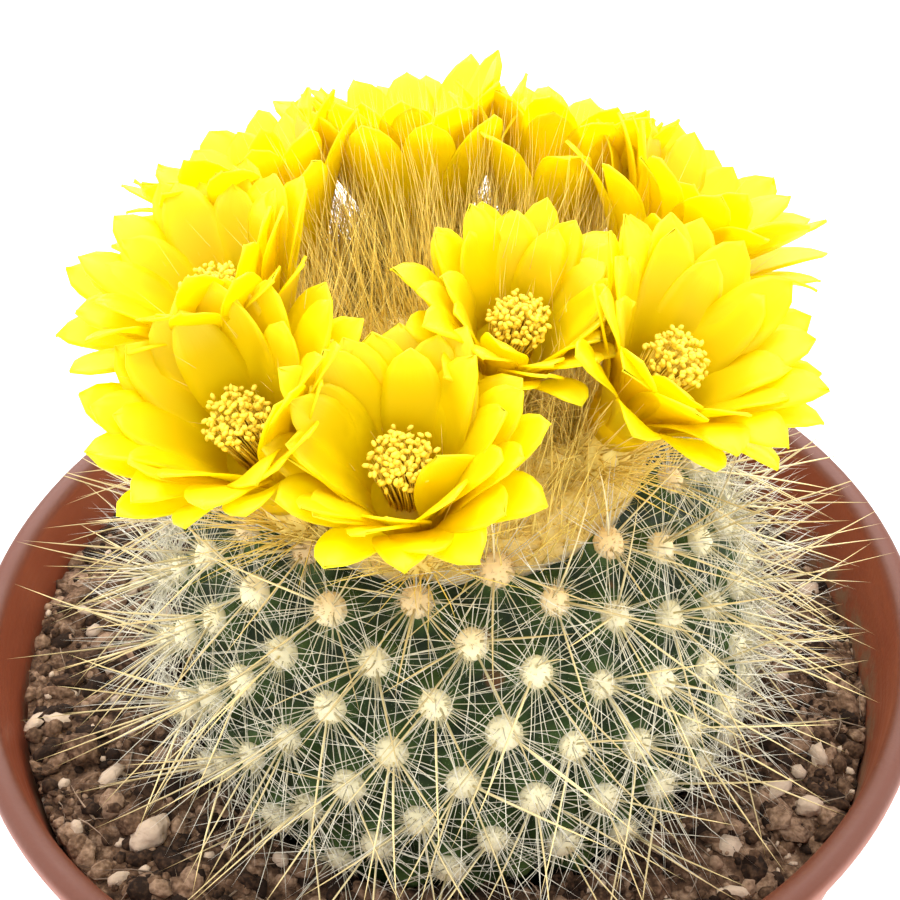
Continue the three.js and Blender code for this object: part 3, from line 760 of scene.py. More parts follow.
flesh, look, shader = material("cactus skin")
place = look.spot()
hollow = look.attribute("hollow")
mottle = look.noise(place, 260.0, 3.0)
pores = look.cells(place, 2600.0)
scars = look.noise(place, 120.0, 3.0)
# Painted shade darkens the valleys between the tubercles and painted light brightens their tops; a
# mottle varies it
colour = look.ramp(hollow + (mottle - 0.5) * 0.5,
                   [(0.2, SKIN_TOP_LIGHT), (0.5, SKIN_GREEN), (0.95, SKIN_VALLEY_SHADE)])
colour = look.mixed(look.ease(pores, 0.22, 0.08, 0.0, 0.35), colour, SKIN_PORE)
colour = look.mixed(look.ease(scars, 0.72, 0.78, 0.0, 0.7), colour, SKIN_SCAR)
bump = look.bump(0.5, 0.00012, mottle * 2.0 - pores)
finish_shader(look, shader, colour, look.ease(mottle, 0.3, 0.7, 0.5, 0.7), bump,
              Specular_IOR_Level=0.18)


def on_plant(piece):
    """Moves a piece made round the globe's middle to the plant's place in the pot."""
    piece.data.transform(Matrix.Translation(PLANT))
    return piece


stem = on_plant(grow("stem_skin", skin, Material=flesh))
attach(stem, "root")
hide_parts("cactus_stem")

# Areole felt
# Every tubercle ends in a round pad of short curled wool, cream on the sides of the globe and
# tan towards the crown. The spines come out of it.
PAD_RADIUS = 1.95 * mm
PAD_HEIGHT = 1.25 * mm
FELT_HAIRS = 52
FELT_CREAM = (0.86, 0.79, 0.52)
FELT_TAN = (0.76, 0.54, 0.25)
FELT_TIP = (0.86, 0.79, 0.6)


def fibre_group():
    """Colours a hair from its root to its tip, with a spread between hairs."""
    tree = Tree(bpy.data.node_groups.new("fibre tint", "ShaderNodeTree"))
    root, tip, spread = tree.inputs(Root=(1, 1, 1, 1), Tip=(1, 1, 1, 1), Spread=0.3)
    tree.group.interface.new_socket("Color", in_out="OUTPUT", socket_type="NodeSocketColor")
    tint = tree.mixed(tree.attribute("along"), root, tip)
    gain = 1 + (tree.attribute("shade") - 0.5) * spread
    leave = tree.group.nodes.new("NodeGroupOutput")
    tree.put(leave.inputs[0], tree.calc("MULTIPLY", tint, tree.xyz(gain, gain, gain)))
    return tree.group


fibre_tint = fibre_group()


def fibre_colour(look, root, tip, spread):
    """Places the hairs' tint in a material."""
    tint = look.group.nodes.new("ShaderNodeGroup")
    tint.node_tree = fibre_tint
    for name, value in (("Root", root), ("Tip", tip), ("Spread", spread)):
        look.put(tint.inputs[name], value)
    return Term(look, tint.outputs["Color"])


def outward(tree):
    """At a point of the globe: straight out, sideways and up along the skin."""
    out = tree.unit(tree.position())
    side = tree.unit(tree.calc("CROSS_PRODUCT", (0.0, 0.0, 1.0), out))
    return out, side, tree.calc("CROSS_PRODUCT", out, side)


felt = geometry_tree("areole felt")
pad_radius, pad_height, hairs, seed, coat = felt.inputs(
    Pad_radius=PAD_RADIUS, Pad_height=PAD_HEIGHT, Hairs=FELT_HAIRS, Seed=3, Material=flesh)
spots = areole_points(felt, GLOBE_RADIUS + TUBERCLE - 0.1 * mm, LAST_SPINY)
pad = felt.node("GeometryNodeMeshIcoSphere", Radius=1.0, Subdivisions=2)
lumps = felt.noise(felt.position(), 3.0, 2.0)
pad = felt.shift(pad, felt.normal() * (lumps - 0.5) * 0.5)
pad = felt.store(pad, along=0.35)
spots = felt.store(spots, shade=felt.draw(0.0, 1.0, seed))
out, side, up = outward(felt)
faced = felt.facing(out)
full = felt.draw(0.85, 1.1, seed + 1)
pads = felt.copies(spots, pad, Rotation=faced,
                   Scale=felt.xyz(pad_radius, pad_radius, pad_height) * full)
tufts = felt.node("GeometryNodeDuplicateElements", domain="POINT", Geometry=spots, Amount=hairs)
angle = felt.draw(0.0, turn, seed + 2)
share = felt.calc("SQRT", felt.draw(0.0, 1.0, seed + 3))
way = side * felt.cos(angle) + up * felt.sin(angle)
tufts = felt.store(tufts, hair_way=way, hair_share=share, hair_out=out)
way, share = felt.arrow("hair_way"), felt.read("hair_share")
out = felt.arrow("hair_out")
dome = felt.calc("SQRT", 1.02 - share * share)
tufts = felt.shift(tufts, way * (share * pad_radius * 0.9) + out * (dome * pad_height * 0.7))
aim = out * (1.25 - share) + way * share * 1.3
lean = felt.draws((-0.5 * mm,) * 3, (0.5 * mm,) * 3, seed + 5)
curls = needles(felt, tufts, aim, felt.draw(0.7 * mm, 1.5 * mm, seed + 6), 0.075 * mm, lean)
close_tree(felt, felt.join(pads, curls), coat)

felt_wool, look, shader = material("areole felt")
high = look.ease(look.split(look.spot())[2], 116 * mm, 123 * mm)
cream = look.mixed(high, FELT_CREAM, FELT_TAN)
colour = fibre_colour(look, cream, look.mixed(0.5, cream, FELT_TIP), 0.3)
finish_shader(look, shader, colour, 0.9, Specular_IOR_Level=0.1)

felt_pads = on_plant(grow("areole_felt", felt, Material=felt_wool))
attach(felt_pads, "root")

# Spines
# A flat star of fine white spines round every pad, a few longer white ones above them, and long
# golden ones that stand out from its middle. All are stiff, grow from the felt and end clear of
# the soil and the pot.
WHITE_SPINES = 22
WHITE_LENGTH = 8.8 * mm
WHITE_RADIUS = 0.072 * mm
LONG_WHITE_SPINES = 12
LONG_WHITE_LENGTH = 14 * mm
GOLDEN_SPINES = 4
GOLDEN_LENGTH = 19.5 * mm
GOLDEN_RADIUS = 0.15 * mm
SPINE_WHITE = (0.74, 0.7, 0.54)
SPINE_WHITE_TIP = (0.84, 0.8, 0.68)
SPINE_GOLD_ROOT = (0.78, 0.68, 0.4)
SPINE_GOLD = (0.74, 0.56, 0.24)


def fibre_material(name, root, tip, spread, roughness):
    """Hairs or spines of one colour at the root and another at the tip."""
    made, look, shader = material(name)
    finish_shader(look, shader, fibre_colour(look, root, tip, spread), roughness)
    return made


def spine_tree(name, segments, fullness):
    """Spines that spread from each areole like a star, between two angles off the skin."""
    tree = geometry_tree(name)
    count, length, thick, low, high, droop, ring, down, seed, coat = tree.inputs(
        Spines=30, Length=WHITE_LENGTH, Radius=WHITE_RADIUS, Lowest_lift=10.0, Highest_lift=30.0,
        Bend=0.6 * mm, Ring=0.5 * mm, Down=0.0, Seed=1, Material=flesh)
    spots = areole_points(tree, GLOBE_RADIUS + TUBERCLE + 0.25 * mm, LAST_SPINY)
    spots = tree.store(spots, start=tree.draw(0.0, turn, seed))
    star = tree.node("GeometryNodeDuplicateElements", domain="POINT", Geometry=spots, Amount=count)
    order = star.output("Duplicate Index")
    out, side, up = outward(tree)
    step = turn / count
    angle = tree.read("start") + (order + tree.draw(-0.42, 0.42, seed + 1)) * step
    lift = tree.draw(low, high, seed + 2) * (math.pi / 180)
    flat = side * tree.cos(angle) + up * tree.sin(angle)
    aim = out * tree.sin(lift) + flat * tree.cos(lift) - up * down
    star = tree.store(star, flat=flat, aim=aim, out=out,
                      reach=length * tree.draw(0.78, 1.05, seed + 3))
    flat, aim = tree.arrow("flat"), tree.arrow("aim")
    out, reach = tree.arrow("out"), tree.read("reach")
    star = tree.shift(star, flat * ring * tree.draw(0.6, 1.1, seed + 4))
    tip = tree.position() + aim * reach + tuple(PLANT)
    x, y, z = tree.split(tip)
    wide = tree.calc("SQRT", x * x + y * y)
    soil_here = SOIL_LEVEL - x * SOIL_TILT + 0.8 * mm
    buried = tree.under(z, soil_here)
    in_wall = tree.above(wide, MOUTH_RADIUS - 1.2 * mm) * tree.under(z, POT_HEIGHT + 1.5 * mm)
    star = tree.node("GeometryNodeDeleteGeometry", domain="POINT", Geometry=star,
                     Selection=tree.calc("MAXIMUM", buried, in_wall))
    wild = tree.draws((-1.0, -1.0, -1.0), (1.0, 1.0, 1.0), seed + 5)
    lean = wild * droop - out * droop * 0.4
    spines = needles(tree, star, aim, reach, thick * tree.draw(0.8, 1.15, seed + 6), lean, segments,
                     fullness)
    close_tree(tree, spines, coat)
    return tree


white = fibre_material("white spine", SPINE_WHITE, SPINE_WHITE_TIP, 0.2, 0.45)
gold = fibre_material("golden spine", SPINE_GOLD_ROOT, SPINE_GOLD, 0.5, 0.35)
star_tree = spine_tree("white spines", 2, 0.4)
white_layers = (
    (WHITE_SPINES, WHITE_LENGTH, WHITE_RADIUS, 3.0, 24.0, 1.5 * mm, 0.0),
    (LONG_WHITE_SPINES, LONG_WHITE_LENGTH, WHITE_RADIUS * 1.15, 24.0, 70.0, 1.0 * mm, 0.25),
)
for layer, (count, reach, radius, lowest, highest, ring, down) in enumerate(white_layers):
    spines = on_plant(grow(f"white_spines_{layer + 1}", star_tree, Material=white, Spines=count,
                           Length=reach, Radius=radius, Lowest_lift=lowest, Highest_lift=highest,
                           Bend=0.9 * mm, Ring=ring, Down=down, Seed=11 + 40 * layer))
    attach(spines, "root")
long_tree = spine_tree("golden spines", 4, 1.3)
centrals = on_plant(grow("golden_spines", long_tree, Material=gold, Spines=GOLDEN_SPINES,
                         Length=GOLDEN_LENGTH, Radius=GOLDEN_RADIUS, Lowest_lift=34.0,
                         Highest_lift=76.0, Bend=1.1 * mm, Down=0.3, Seed=91))
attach(centrals, "root")

# Crown wool
# A cushion of tan wool closes the crown. The flower tubes come up through it, with long golden
# bristles between them.
WOOL_THICKNESS = 4.6 * mm
WOOL_EDGE = 40
WOOL_HAIRS = 3400
CROWN_BRISTLES = 1000
WOOL_DEEP = (0.93, 0.68, 0.18)
WOOL_CREAM = (0.99, 0.86, 0.42)
WOOL_TAN = (0.97, 0.77, 0.22)
WOOL_RIM = (0.55, 0.34, 0.09)
HAIR_ROOT, HAIR_TIP = (0.95, 0.7, 0.16), (0.98, 0.78, 0.26)
BRISTLE_ROOT, BRISTLE_TIP = (0.97, 0.76, 0.2), (0.98, 0.74, 0.16)

pad = geometry_tree("wool pad")
thickness, coat = pad.inputs(Thickness=WOOL_THICKNESS, Material=felt_wool)
ball = pad.node("GeometryNodeMeshUVSphere", Segments=96, Rings=64, Radius=1.0)
way_x, way_y, way_z = pad.split(pad.position())
below = pad.calc("ARCCOSINE", pad.calc("ABSOLUTE", way_z)) * (WOOL_EDGE / 90)
azimuth = pad.calc("ARCTAN2", way_y, way_x)
lobes = 1 + 0.2 * pad.sin(azimuth * 6 + below * 57) + 0.16 * pad.cos(azimuth * 10 - below * 40)
thin = 1 - (below / math.radians(WOOL_EDGE)) ** 2.2
upper = pad.above(way_z, 0.0)
level = GLOBE_RADIUS + 0.2 * mm + thickness * thin * lobes * upper - (1 - upper) * (0.9 * mm)
flat = level * pad.sin(below)
cap = pad.xyz(flat * pad.cos(azimuth), flat * pad.sin(azimuth), level * pad.cos(below))
ball = pad.place(ball, cap)
fuzz = pad.noise(pad.position(), 330.0, 3.0) - 0.5
ball = pad.shift(ball, pad.normal() * fuzz * (1.4 * mm))
close_tree(pad, ball, coat)

wool_base, look, shader = material("wool base")
place = look.spot()
strands = look.noise(place, 900.0, 3.0, Roughness=0.7)
colour = look.ramp(strands, [(0.32, WOOL_DEEP), (0.5, WOOL_TAN), (0.66, WOOL_CREAM)])
rim = look.ease(look.split(place)[2], 131 * mm, 121 * mm, 0.0, 0.75)
colour = look.mixed(rim, colour, WOOL_RIM)
bump = look.bump(0.9, 0.0006, strands)
finish_shader(look, shader, colour, 0.92, bump, Sheen_Weight=0.3, Specular_IOR_Level=0.1)
wool_pad = on_plant(grow("wool_pad", pad, Material=wool_base))
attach(wool_pad, "root")
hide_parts("crown_wool")

tangle = geometry_tree("wool tangle", takes_mesh=True)
hairs, length, thick, sway, curl, edge, upright, behind, seed, coat = tangle.inputs(
    Hairs=WOOL_HAIRS, Length=6.5 * mm, Radius=0.07 * mm, Sway=1.0, Curl=2.4 * mm, Edge=0.35,
    Upright=0.0, Behind=2.0, Seed=8, Material=wool_base)
normal = tangle.normal()
spot = tangle.position()
upper = tangle.above(tangle.calc("DOT_PRODUCT", normal, spot - tuple(PLANT)), 0.0)
cap_area = turn * GLOBE_RADIUS**2 * (1 - math.cos(math.radians(WOOL_EDGE)))
crowd = tangle.ease(tangle.split(spot)[1], 6 * mm, 19 * mm, 0.7, behind)
tufts = tangle.scatter(upper, crowd * (hairs / cap_area), seed)
out = tangle.unit(tangle.position() - tuple(PLANT))
wild = tangle.draws((-1.0, -1.0, -1.0), (1.0, 1.0, 1.0), seed + 1)
aim = out * 1.1 + wild * sway + tangle.xyz(0.0, 0.0, upright)
spot_y = tangle.split(tangle.position())[1]
shorter = tangle.ease(tangle.split(out)[2], 0.79, 0.85, 0.0, 1.0)
from_edge = (edge + (1 - edge) * shorter) * tangle.ease(spot_y, -14 * mm, 8 * mm, 0.6, 1.0)
strand = tangle.draw(0.55, 1.2, seed + 2) * length * from_edge
hair = needles(tangle, tufts, aim, strand, thick, wild * (1.2 * mm), segments=4)
hair = crimped(tangle, hair, curl, 420.0)
close_tree(tangle, hair, coat)

wool_hair = fibre_material("wool hair", HAIR_ROOT, HAIR_TIP, 0.25, 0.8)
crown_hair = grow("crown_wool_hair", tangle, base=wool_pad.data.copy(), Material=wool_hair,
                  Hairs=WOOL_HAIRS)
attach(crown_hair, "root")
bristle = fibre_material("golden bristle", BRISTLE_ROOT, BRISTLE_TIP, 0.35, 0.4)
crown_bristles = grow("crown_bristles", tangle, base=wool_pad.data.copy(), Material=bristle,
                      Hairs=CROWN_BRISTLES, Length=24 * mm, Radius=0.12 * mm, Sway=0.35,
                      Curl=0.8 * mm, Edge=0.9, Upright=0.6, Behind=5.0, Seed=58)
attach(crown_bristles, "root")

# Flowers
# Nine funnels of satin golden petals, each on a woolly tube that comes up through the crown wool.
# A head of golden stamens stands in every cup. Where the blooms crowd, the petals open less.

# For each flower, in degrees and millimetres: the direction and distance of its foot from the
# plant's axis, how far its tube tilts and to which side it leans, its length and radius, and how
# much more its outermost petals open
Flower = namedtuple("Flower", "azimuth distance tilt lean length radius open")
FLOWERS = [Flower(*row) for row in (
    (-101, 20.5, 18, -100, 20, 13.2, 0),
    (-138, 21, 22, -137, 22, 13.8, 2),
    (-176, 17, 20, -168, 24, 13.8, 7),
    (137, 19, 28, 139, 24.5, 14.6, 13),
    (96, 20, 16, 94, 25.5, 15.2, 15),
    (61, 20, 26, 59, 24.5, 14.6, 13),
    (25, 19, 31, 17, 24, 14.2, 7),
    (-31, 17, 30, -33, 21.8, 13.4, 2),
    (-52, 6, 21, -53, 19, 11.4, 0),
)]
# The radius of a flower whose petals are as long as the whorls say
PETAL_NOMINAL = 13.2
CUP_DEPTH = 7.5 * mm
CUP_FLARE = 2 * mm
CUP_RADIUS = 4 * mm
CUP_FOOT = 14.4 * mm
PETAL_DROP = 13 * mm
TUBE_RADIUS = 3.3 * mm
TUBE_SKIN = 350 * mm * mm
# Hairs and bristles on a tall flower's tube, which shows above the wool, and on a short one's
TUBE_HAIRS = (2000, 600)
TUBE_BRISTLES = (700, 140)
# Their length as a share of the flower's
TUBE_HAIR_REACH = 0.62
TUBE_BRISTLE_REACH = 0.8
TUBE_SIDES = 32
NEIGHBOUR_REACH = 30 * mm
TALL_FLOWER = 23.5 * mm
CROWN_ROOM = 17 * mm
# Each whorl, from the outermost, in degrees and millimetres: how many petals, how far out they
# start, how long and wide they are, how they lean at the start and curl outwards, and how far they
# may pass into the next flower
Whorl = namedtuple("Whorl", "count root length width start curl past")
WHORLS = [Whorl(*row) for row in (
    (12, 3.3, 20.0, 6.0, 14, 40, 2.2),
    (12, 3.0, 20.5, 6.4, 11, 34, 0.4),
    (10, 2.7, 19.3, 6.0, 9, 28, -0.6),
)]
# One short petal of the front flower stands folded against its stamens
FOLDED_PETAL = {
    "azimuth": math.radians(66), "start": math.radians(14), "curl": math.radians(-20),
    "length": 14.5 * mm, "width": 8 * mm, "root": 3.9 * mm, "roll": -0.95, "flick": -1.2 * mm,
    "inner": 1.0, "shade": 0.6,
}
PETAL_ROWS = 17
PETAL_COLUMNS = 7
PETAL_THICKNESS = 0.22 * mm
# Painted shade and light along a petal: deeper gold at its root in the cup, lemon at its backlit tip
PETAL_BASE_SHADE = (0.9, 0.65, 0.0)
PETAL_GOLD = (0.91, 0.725, 0.0)
PETAL_TIP_LIGHT = (0.92, 0.81, 0.02)
# The colour of the light that shines through a petal, and how much of it does
PETAL_LIGHT = (0.97, 0.95, 0.0)
PETAL_THINNESS = 0.45
STAMEN_ROOT, STAMEN_TIP = (0.9, 0.6, 0.01), (0.94, 0.72, 0.06)
TUBE_TAN, TUBE_CREAM = (0.93, 0.68, 0.12), (0.97, 0.8, 0.25)


def flower_frame(flower, number):
    """The frame of a flower: +Z along its axis, the origin at its foot on the globe."""
    azimuth, distance = math.radians(flower.azimuth), flower.distance * mm
    height = math.sqrt(GLOBE_RADIUS**2 - distance**2)
    foot = PLANT + Vector((distance * math.cos(azimuth), distance * math.sin(azimuth), height))
    tilt, lean = math.radians(flower.tilt), math.radians(flower.lean)
    axis = Vector((math.sin(tilt) * math.cos(lean), math.sin(tilt) * math.sin(lean), math.cos(tilt)))
    away = Vector((1, 0, 0)) if abs(axis.z) > 0.9 else Vector((0, 0, 1))
    side = away.cross(axis).normalized()
    basis = Matrix((side, axis.cross(side), axis)).transposed().to_4x4()
    return Matrix.Translation(foot) @ basis @ Matrix.Rotation(number * golden_angle, 4, "Z")


flower_frames = [flower_frame(flower, number) for number, flower in enumerate(FLOWERS)]
faces_at = [
    matrix @ Vector((0, 0, flower.length * mm)) for matrix, flower in zip(flower_frames, FLOWERS)
]


def dividers(number):
    """The planes half way to the neighbouring flowers: a point and the way across."""
    planes = []
    for other, centre in enumerate(faces_at):
        across = centre - faces_at[number]
        if other != number and across.length < NEIGHBOUR_REACH:
            planes.append((centre.lerp(faces_at[number], 0.5), across.normalized()))
    if FLOWERS[number].length * mm > TALL_FLOWER:
        inwards = (PLANT - faces_at[number]) * Vector((1, 1, 0))
        planes.append((PLANT - inwards.normalized() * CROWN_ROOM, inwards.normalized()))
    return planes


def petal_start(flower, order):
    """How far a petal leans outwards at its root; only the outermost whorl opens wider."""
    return WHORLS[order].start + (flower.open if order == 0 else 0)


def petal_middle(whorl, start, size, azimuth, curl, face, along):
    """A point on a petal's middle line, which is an arc in the plane of the flower's axis."""
    start = math.radians(start)
    bend = math.radians(curl)
    length = whorl.length * size * mm
    outwards = whorl.root * mm + length * (math.cos(start) - math.cos(start + bend * along)) / bend
    climb = length * (math.sin(start + bend * along) - math.sin(start)) / bend
    climb += face - PETAL_DROP * size
    return Vector((outwards * math.cos(azimuth), outwards * math.sin(azimuth), climb))


def petal_curl(number, whorl, start, size, azimuth):
    """A petal curls outwards as far as the next flowers leave it room."""
    planes = dividers(number)
    face = FLOWERS[number].length * mm
    for tenths in range(10, 0, -1):
        curl = whorl.curl * tenths / 10
        placed = [
            flower_frames[number] @ petal_middle(whorl, start, size, azimuth, curl, face, along)
            for along in (0.6, 0.8, 1)
        ]
        past = max((point - middle).dot(across) for point in placed for middle, across in planes)
        if past < whorl.past * mm:
            break
    return curl


def petal_points(number):
    """One point for each petal of a flower, with the numbers that shape it."""
    flower = FLOWERS[number]
    size = flower.radius / PETAL_NOMINAL
    rolls = random.Random(300 + number)
    rows = []
    for order, whorl in enumerate(WHORLS):
        for place in range(whorl.count):
            azimuth = turn * (place + order * 0.37 + rolls.uniform(-0.14, 0.14)) / whorl.count
            start = petal_start(flower, order)
            curl = petal_curl(number, whorl, start, size, azimuth)
            rows.append({
                "azimuth": azimuth,
                "start": math.radians(start + rolls.uniform(-2, 2)),
                "curl": math.radians(curl * rolls.uniform(0.85, 1.15)),
                "length": whorl.length * size * mm * rolls.uniform(0.92, 1.05),
                "width": whorl.width * size * mm * rolls.uniform(0.9, 1.08),
                "root": whorl.root * mm,
                "roll": rolls.uniform(-0.28, 0.28),
                "flick": rolls.choice((-0.3, 0.1, 0.4, 0.8, 1.5)) * mm,
                "inner": order / 2,
                "shade": rolls.random(),
            })
    if number == 0:
        rows.append(FOLDED_PETAL)
    mesh = bpy.data.meshes.new("petal points")
    mesh.from_pydata([(0, 0, flower.length * mm)] * len(rows), [], [])
    for key in rows[0]:
        values = [row[key] for row in rows]
        mesh.attributes.new(key, "FLOAT", "POINT").data.foreach_set("value", values)
    return mesh


bloom = geometry_tree("petals", takes_mesh=True)
drop, channel, ruffle, coat, face = bloom.inputs(
    Drop=PETAL_DROP, Channel=0.35 * mm, Ruffle=0.8 * mm, Material=flesh, Face=19 * mm)
blade = bloom.node("GeometryNodeMeshGrid", Size_X=1.0, Size_Y=2.0, Vertices_X=PETAL_ROWS,
                   Vertices_Y=PETAL_COLUMNS)
blade_x, blade_y, _ = bloom.split(bloom.position())
blade = bloom.store(blade, along=blade_x + 0.5, across=blade_y)
seeds = bloom.node("GeometryNodeMeshToPoints", Mesh=bloom.mesh())
real = bloom.real(bloom.copies(seeds, blade))
along, across, azimuth, start, curl, length, width = (
    bloom.read(name) for name in ("along", "across", "azimuth", "start", "curl", "length", "width"))
angle = start + curl * along
cosine, sine = bloom.cos, bloom.sin
tip = bloom.calc("MAXIMUM", along - 0.78, 0.0) / 0.22
flick = tip * tip * bloom.read("flick")
outwards = bloom.read("root") + length * (cosine(start) - cosine(angle)) / curl + flick * cosine(angle)
climb = length * (sine(angle) - sine(start)) / curl - drop - flick * sine(angle)
outline_curve = bloom.node("ShaderNodeFloatCurve", Value=along)
outline_node = outline_curve.socket.node
curve = outline_node.mapping.curves[0]
curve.points[0].location, curve.points[1].location = (0, 0.36), (1, 0.0)
for place, share in ((0.2, 0.52), (0.42, 0.85), (0.64, 1.0), (0.8, 0.9), (0.91, 0.63), (0.97, 0.34)):
    curve.points.new(place, share)
outline_node.mapping.update()
half = width * 0.5 * (outline_curve + 0.012)
roll = bloom.read("roll") * along
edge = across * across
cup = edge * channel * (outline_curve * (1.15 - along))
waves = bloom.noise(bloom.xyz(along * 1.6, across * 0.8, 0.0), 1.6, 1.0, noise_dimensions="4D",
                    W=azimuth * 5.0 + bloom.read("inner") * 17.0)
lift = cup + (waves - 0.5) * ruffle * (along + edge * 0.6) + across * half * sine(roll)
spread = across * half * cosine(roll)
flat = outwards - lift * cosine(angle)
tall = climb + lift * sine(angle)
petal_x = flat * cosine(azimuth) - spread * sine(azimuth)
petal_y = flat * sine(azimuth) + spread * cosine(azimuth)
shaped = bloom.place(real, bloom.xyz(petal_x, petal_y, tall + face))
close_tree(bloom, shaped, coat)


def let_light_through(tree, shader, colour, share):
    """Mixes a Principled shader with light from behind, as in a thin petal. What comes in through
    one side leaves by the other."""
    through = tree.node("ShaderNodeBsdfTranslucent", Color=colour)
    blend = tree.group.nodes.new("ShaderNodeMixShader")
    backs = tree.node("ShaderNodeNewGeometry").output("Backfacing")
    tree.put(blend.inputs[0], tree.calc("MAXIMUM", backs, share))
    tree.group.links.new(shader.outputs[0], blend.inputs[1])
    tree.group.links.new(through.socket, blend.inputs[2])
    tree.group.links.new(blend.outputs[0], tree.group.nodes["Material Output"].inputs[0])


petal, look, shader = material("petal")
place = look.spot()
along = look.attribute("along")
across = look.attribute("across")
shade = look.attribute("shade")
veins = look.noise(look.xyz(along * 2.0, across * 14.0, shade * 30.0), 1.6, 2.0)
# Painted shade makes the petal deeper gold at its root and painted backlight makes it lemon at its tip;
# veins and a spread between petals vary it
colour = look.ramp(along + (shade - 0.5) * 0.12 + (veins - 0.5) * 0.14,
                   [(0.1, PETAL_BASE_SHADE), (0.45, PETAL_GOLD), (0.85, PETAL_GOLD), (1.0, PETAL_TIP_LIGHT)])
finish_shader(look, shader, colour, 0.42, Specular_IOR_Level=0.35)
let_light_through(look, shader, look.mixed(0.5, colour, PETAL_LIGHT), PETAL_THINNESS)

head = geometry_tree("stamen head")
count, floor, face, seed, coat = head.inputs(
    Stamens=150, Floor=8 * mm, Face=19 * mm, Seed=2, Material=petal)
ring = head.node("GeometryNodePoints", Count=count)
number = head.node("GeometryNodeInputIndex")
share = head.calc("SQRT", (number + 0.5) / count)
angle = number * golden_angle
stand = head.xyz(head.cos(angle), head.sin(angle), 0.0)
ring = head.store(ring, stand=stand, share=share)
stand, share = head.arrow("stand"), head.read("share")
ring = head.place(ring, stand * (share * 2.4 * mm) + head.xyz(0.0, 0.0, floor))
tall = (face - floor) * head.draw(0.8, 1.08, seed)
ring = head.store(ring, tall=tall - share * share * (1.4 * mm))
jitter = head.draws((-0.06, -0.06, 0.0), (0.06, 0.06, 0.0), seed + 1)
ring = head.store(ring, lean=stand * share * 0.11 + jitter + (0.0, 0.0, 1.0))
lean, tall = head.unit(head.arrow("lean")), head.read("tall")
threads = needles(head, ring, lean, tall, 0.2 * mm, stand * (share * 0.3 * mm))
anther_points = head.shift(ring, lean * tall + stand * (share * 0.3 * mm))
sac = head.node("GeometryNodeMeshIcoSphere", Radius=1.0, Subdivisions=1)
sac = head.store(sac, along=1.0)
tumble = head.draws((0.0, 0.0, 0.0), (turn, turn, turn), seed + 3)
anther_points = head.store(anther_points, shade=head.draw(0.0, 1.0, seed + 4))
anthers = head.copies(anther_points, sac, Rotation=tumble,
                      Scale=head.xyz(0.25 * mm, 0.29 * mm, 0.45 * mm))
close_tree(head, head.join(threads, anthers), coat)
stamen = fibre_material("stamen", STAMEN_ROOT, STAMEN_TIP, 0.25, 0.6)

tube_wool, look, shader = material("tube skin")
place = look.spot()
streaks = look.noise(place * (1.0, 1.0, 0.25), 900.0, 4.0)
colour = look.ramp(streaks, [(0.35, TUBE_TAN), (0.6, TUBE_CREAM)])
finish_shader(look, shader, colour, 0.8)

fleece = geometry_tree("tube hair", takes_mesh=True)
hairs, length, thick, seed, coat = fleece.inputs(
    Hairs=500, Length=6 * mm, Radius=0.06 * mm, Seed=4, Material=petal)
normal = fleece.normal()
flank = fleece.under(fleece.calc("ABSOLUTE", fleece.split(normal)[2]), 0.7)
high = fleece.above(fleece.split(fleece.position())[2], 2 * mm)
tufts = fleece.scatter(flank * high, hairs / TUBE_SKIN, seed)
out = tufts.output("Normal")
wild = fleece.draws((-0.4, -0.4, -0.1), (0.4, 0.4, 0.4), seed + 1)
aim = out * 0.8 + wild + (0.0, 0.0, 1.0)
strand = fleece.draw(0.5, 1.2, seed + 2) * length
hair = needles(fleece, tufts, aim, strand, thick, wild * (2.0 * mm), segments=3)
hair = crimped(fleece, hair, 1.2 * mm, 420.0)
close_tree(fleece, hair, coat)

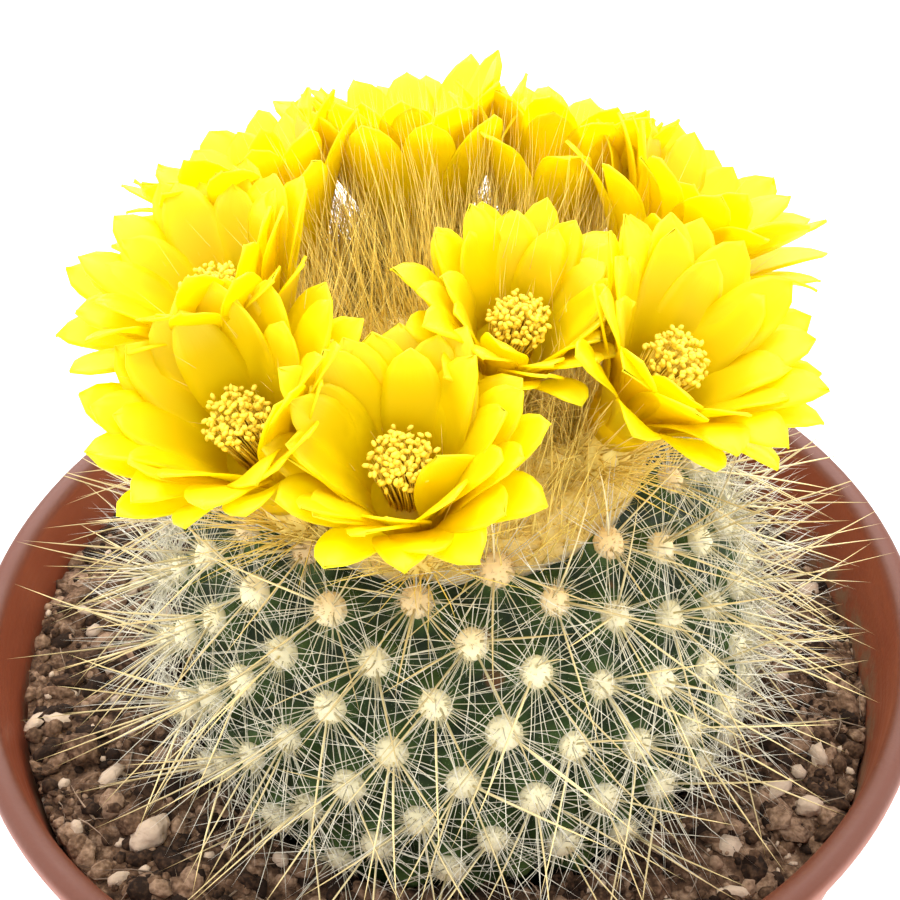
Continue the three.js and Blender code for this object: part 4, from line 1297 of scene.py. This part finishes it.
for number, (flower, matrix) in enumerate(zip(FLOWERS, flower_frames)):
    name = f"flower_{number + 1}"
    face = flower.length * mm
    size = flower.radius / PETAL_NOMINAL
    floor = face - CUP_DEPTH * size
    petals = grow(f"bloom_{number + 1}_petals", bloom, base=petal_points(number), Material=petal,
                  Face=face, Drop=PETAL_DROP * size)
    foot = face - CUP_FOOT * size
    cup = turned("cup", [
        (0, foot),
        (TUBE_RADIUS, foot),
        (CUP_RADIUS, foot + CUP_FLARE),
        (CUP_RADIUS * 0.95, floor),
        (0, floor),
    ], TUBE_SIDES)
    cup.materials.append(petal)
    cup_piece = add_piece("cup", cup)
    petals.data.transform(matrix)
    thick = petals.modifiers.new("thickness", "SOLIDIFY")
    thick.thickness = PETAL_THICKNESS
    thick.offset = 0
    cup_piece.data.transform(matrix)
    cup_piece.name = f"bloom_{number + 1}_cup"
    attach(petals, "root")
    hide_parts(name + "_petals")
    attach(cup_piece, "root")

    stamens = grow(f"bloom_{number + 1}_stamens", head, Material=stamen, Floor=floor + GAP, Face=face,
                   Seed=20 + number)
    stamens.data.transform(matrix)
    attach(stamens, "root")
    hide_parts(name + "_stamens")

    top = foot - GAP
    tube = add_piece(f"bloom_{number + 1}_tube", turned("tube", [
        (0, 0.5 * mm),
        (TUBE_RADIUS * 0.95, 0.5 * mm),
        (TUBE_RADIUS * 1.1, top * 0.4),
        (TUBE_RADIUS * 1.08, top * 0.7),
        (TUBE_RADIUS, top),
        (0, top),
    ], TUBE_SIDES))
    tube.data.materials.append(tube_wool)
    kind = 0 if face > TALL_FLOWER else 1
    hair = grow(f"bloom_{number + 1}_hair", fleece, base=tube.data.copy(), Material=wool_hair,
                Hairs=TUBE_HAIRS[kind], Length=face * TUBE_HAIR_REACH, Radius=0.1 * mm,
                Seed=60 + number)
    stiff = grow(f"bloom_{number + 1}_bristles", fleece, base=tube.data.copy(), Material=bristle,
                 Hairs=TUBE_BRISTLES[kind], Length=face * TUBE_BRISTLE_REACH, Radius=0.13 * mm,
                 Seed=160 + number)
    for piece in (tube, hair, stiff):
        piece.data.transform(matrix)
        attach(piece, "root")
    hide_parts(name + "_tube")

# Studio
# A plain white floor under a white sky, and five soft white lights. The strongest stands behind
# the plant and shines through the far petals and along the spines, and the weakest in front.
HALF_FLOOR = 3.0
FLOOR_WHITE = (0.93, 0.93, 0.925)
SKY_STRENGTH = 1.05
PLANT_MIDDLE = (0, 0, 0.11)
# Each light's place, width and power in watts
LIGHTS = {
    "back light": ((0, 0.9, 0.7), 1.2, 15),
    "top light": ((0, 0.1, 1.1), 0.8, 10),
    "left light": ((-0.9, 0.2, 0.5), 0.9, 5),
    "right light": ((0.9, 0.2, 0.5), 0.9, 5),
    "front light": ((0, -0.9, 0.55), 0.9, 3.5),
}

floor_mesh = bpy.data.meshes.new("floor")
floor_corners = [(x * HALF_FLOOR, y * HALF_FLOOR, 0) for x, y in ((-1, -1), (1, -1), (1, 1), (-1, 1))]
floor_mesh.from_pydata(floor_corners, [], [(0, 1, 2, 3)])
floor_paint, look, shader = material("floor")
finish_shader(look, shader, FLOOR_WHITE, 0.9, Specular_IOR_Level=0.1)
floor_mesh.materials.append(floor_paint)
floor_piece = add_piece("floor", floor_mesh)

for name, (place, width, power) in LIGHTS.items():
    light = bpy.data.objects.new(name, bpy.data.lights.new(name, "AREA"))
    light.data.size = width
    light.data.energy = power
    light.location = place
    light.rotation_euler = (Vector(PLANT_MIDDLE) - Vector(place)).to_track_quat("-Z", "Y").to_euler()
    bpy.context.scene.collection.objects.link(light)
world = bpy.data.worlds.new("studio")
world.use_nodes = True
sky = world.node_tree.nodes["Background"]
sky.inputs["Color"].default_value = (1, 1, 1, 1)
sky.inputs["Strength"].default_value = SKY_STRENGTH
bpy.context.scene.world = world
bpy.context.scene.view_settings.view_transform = "Standard"
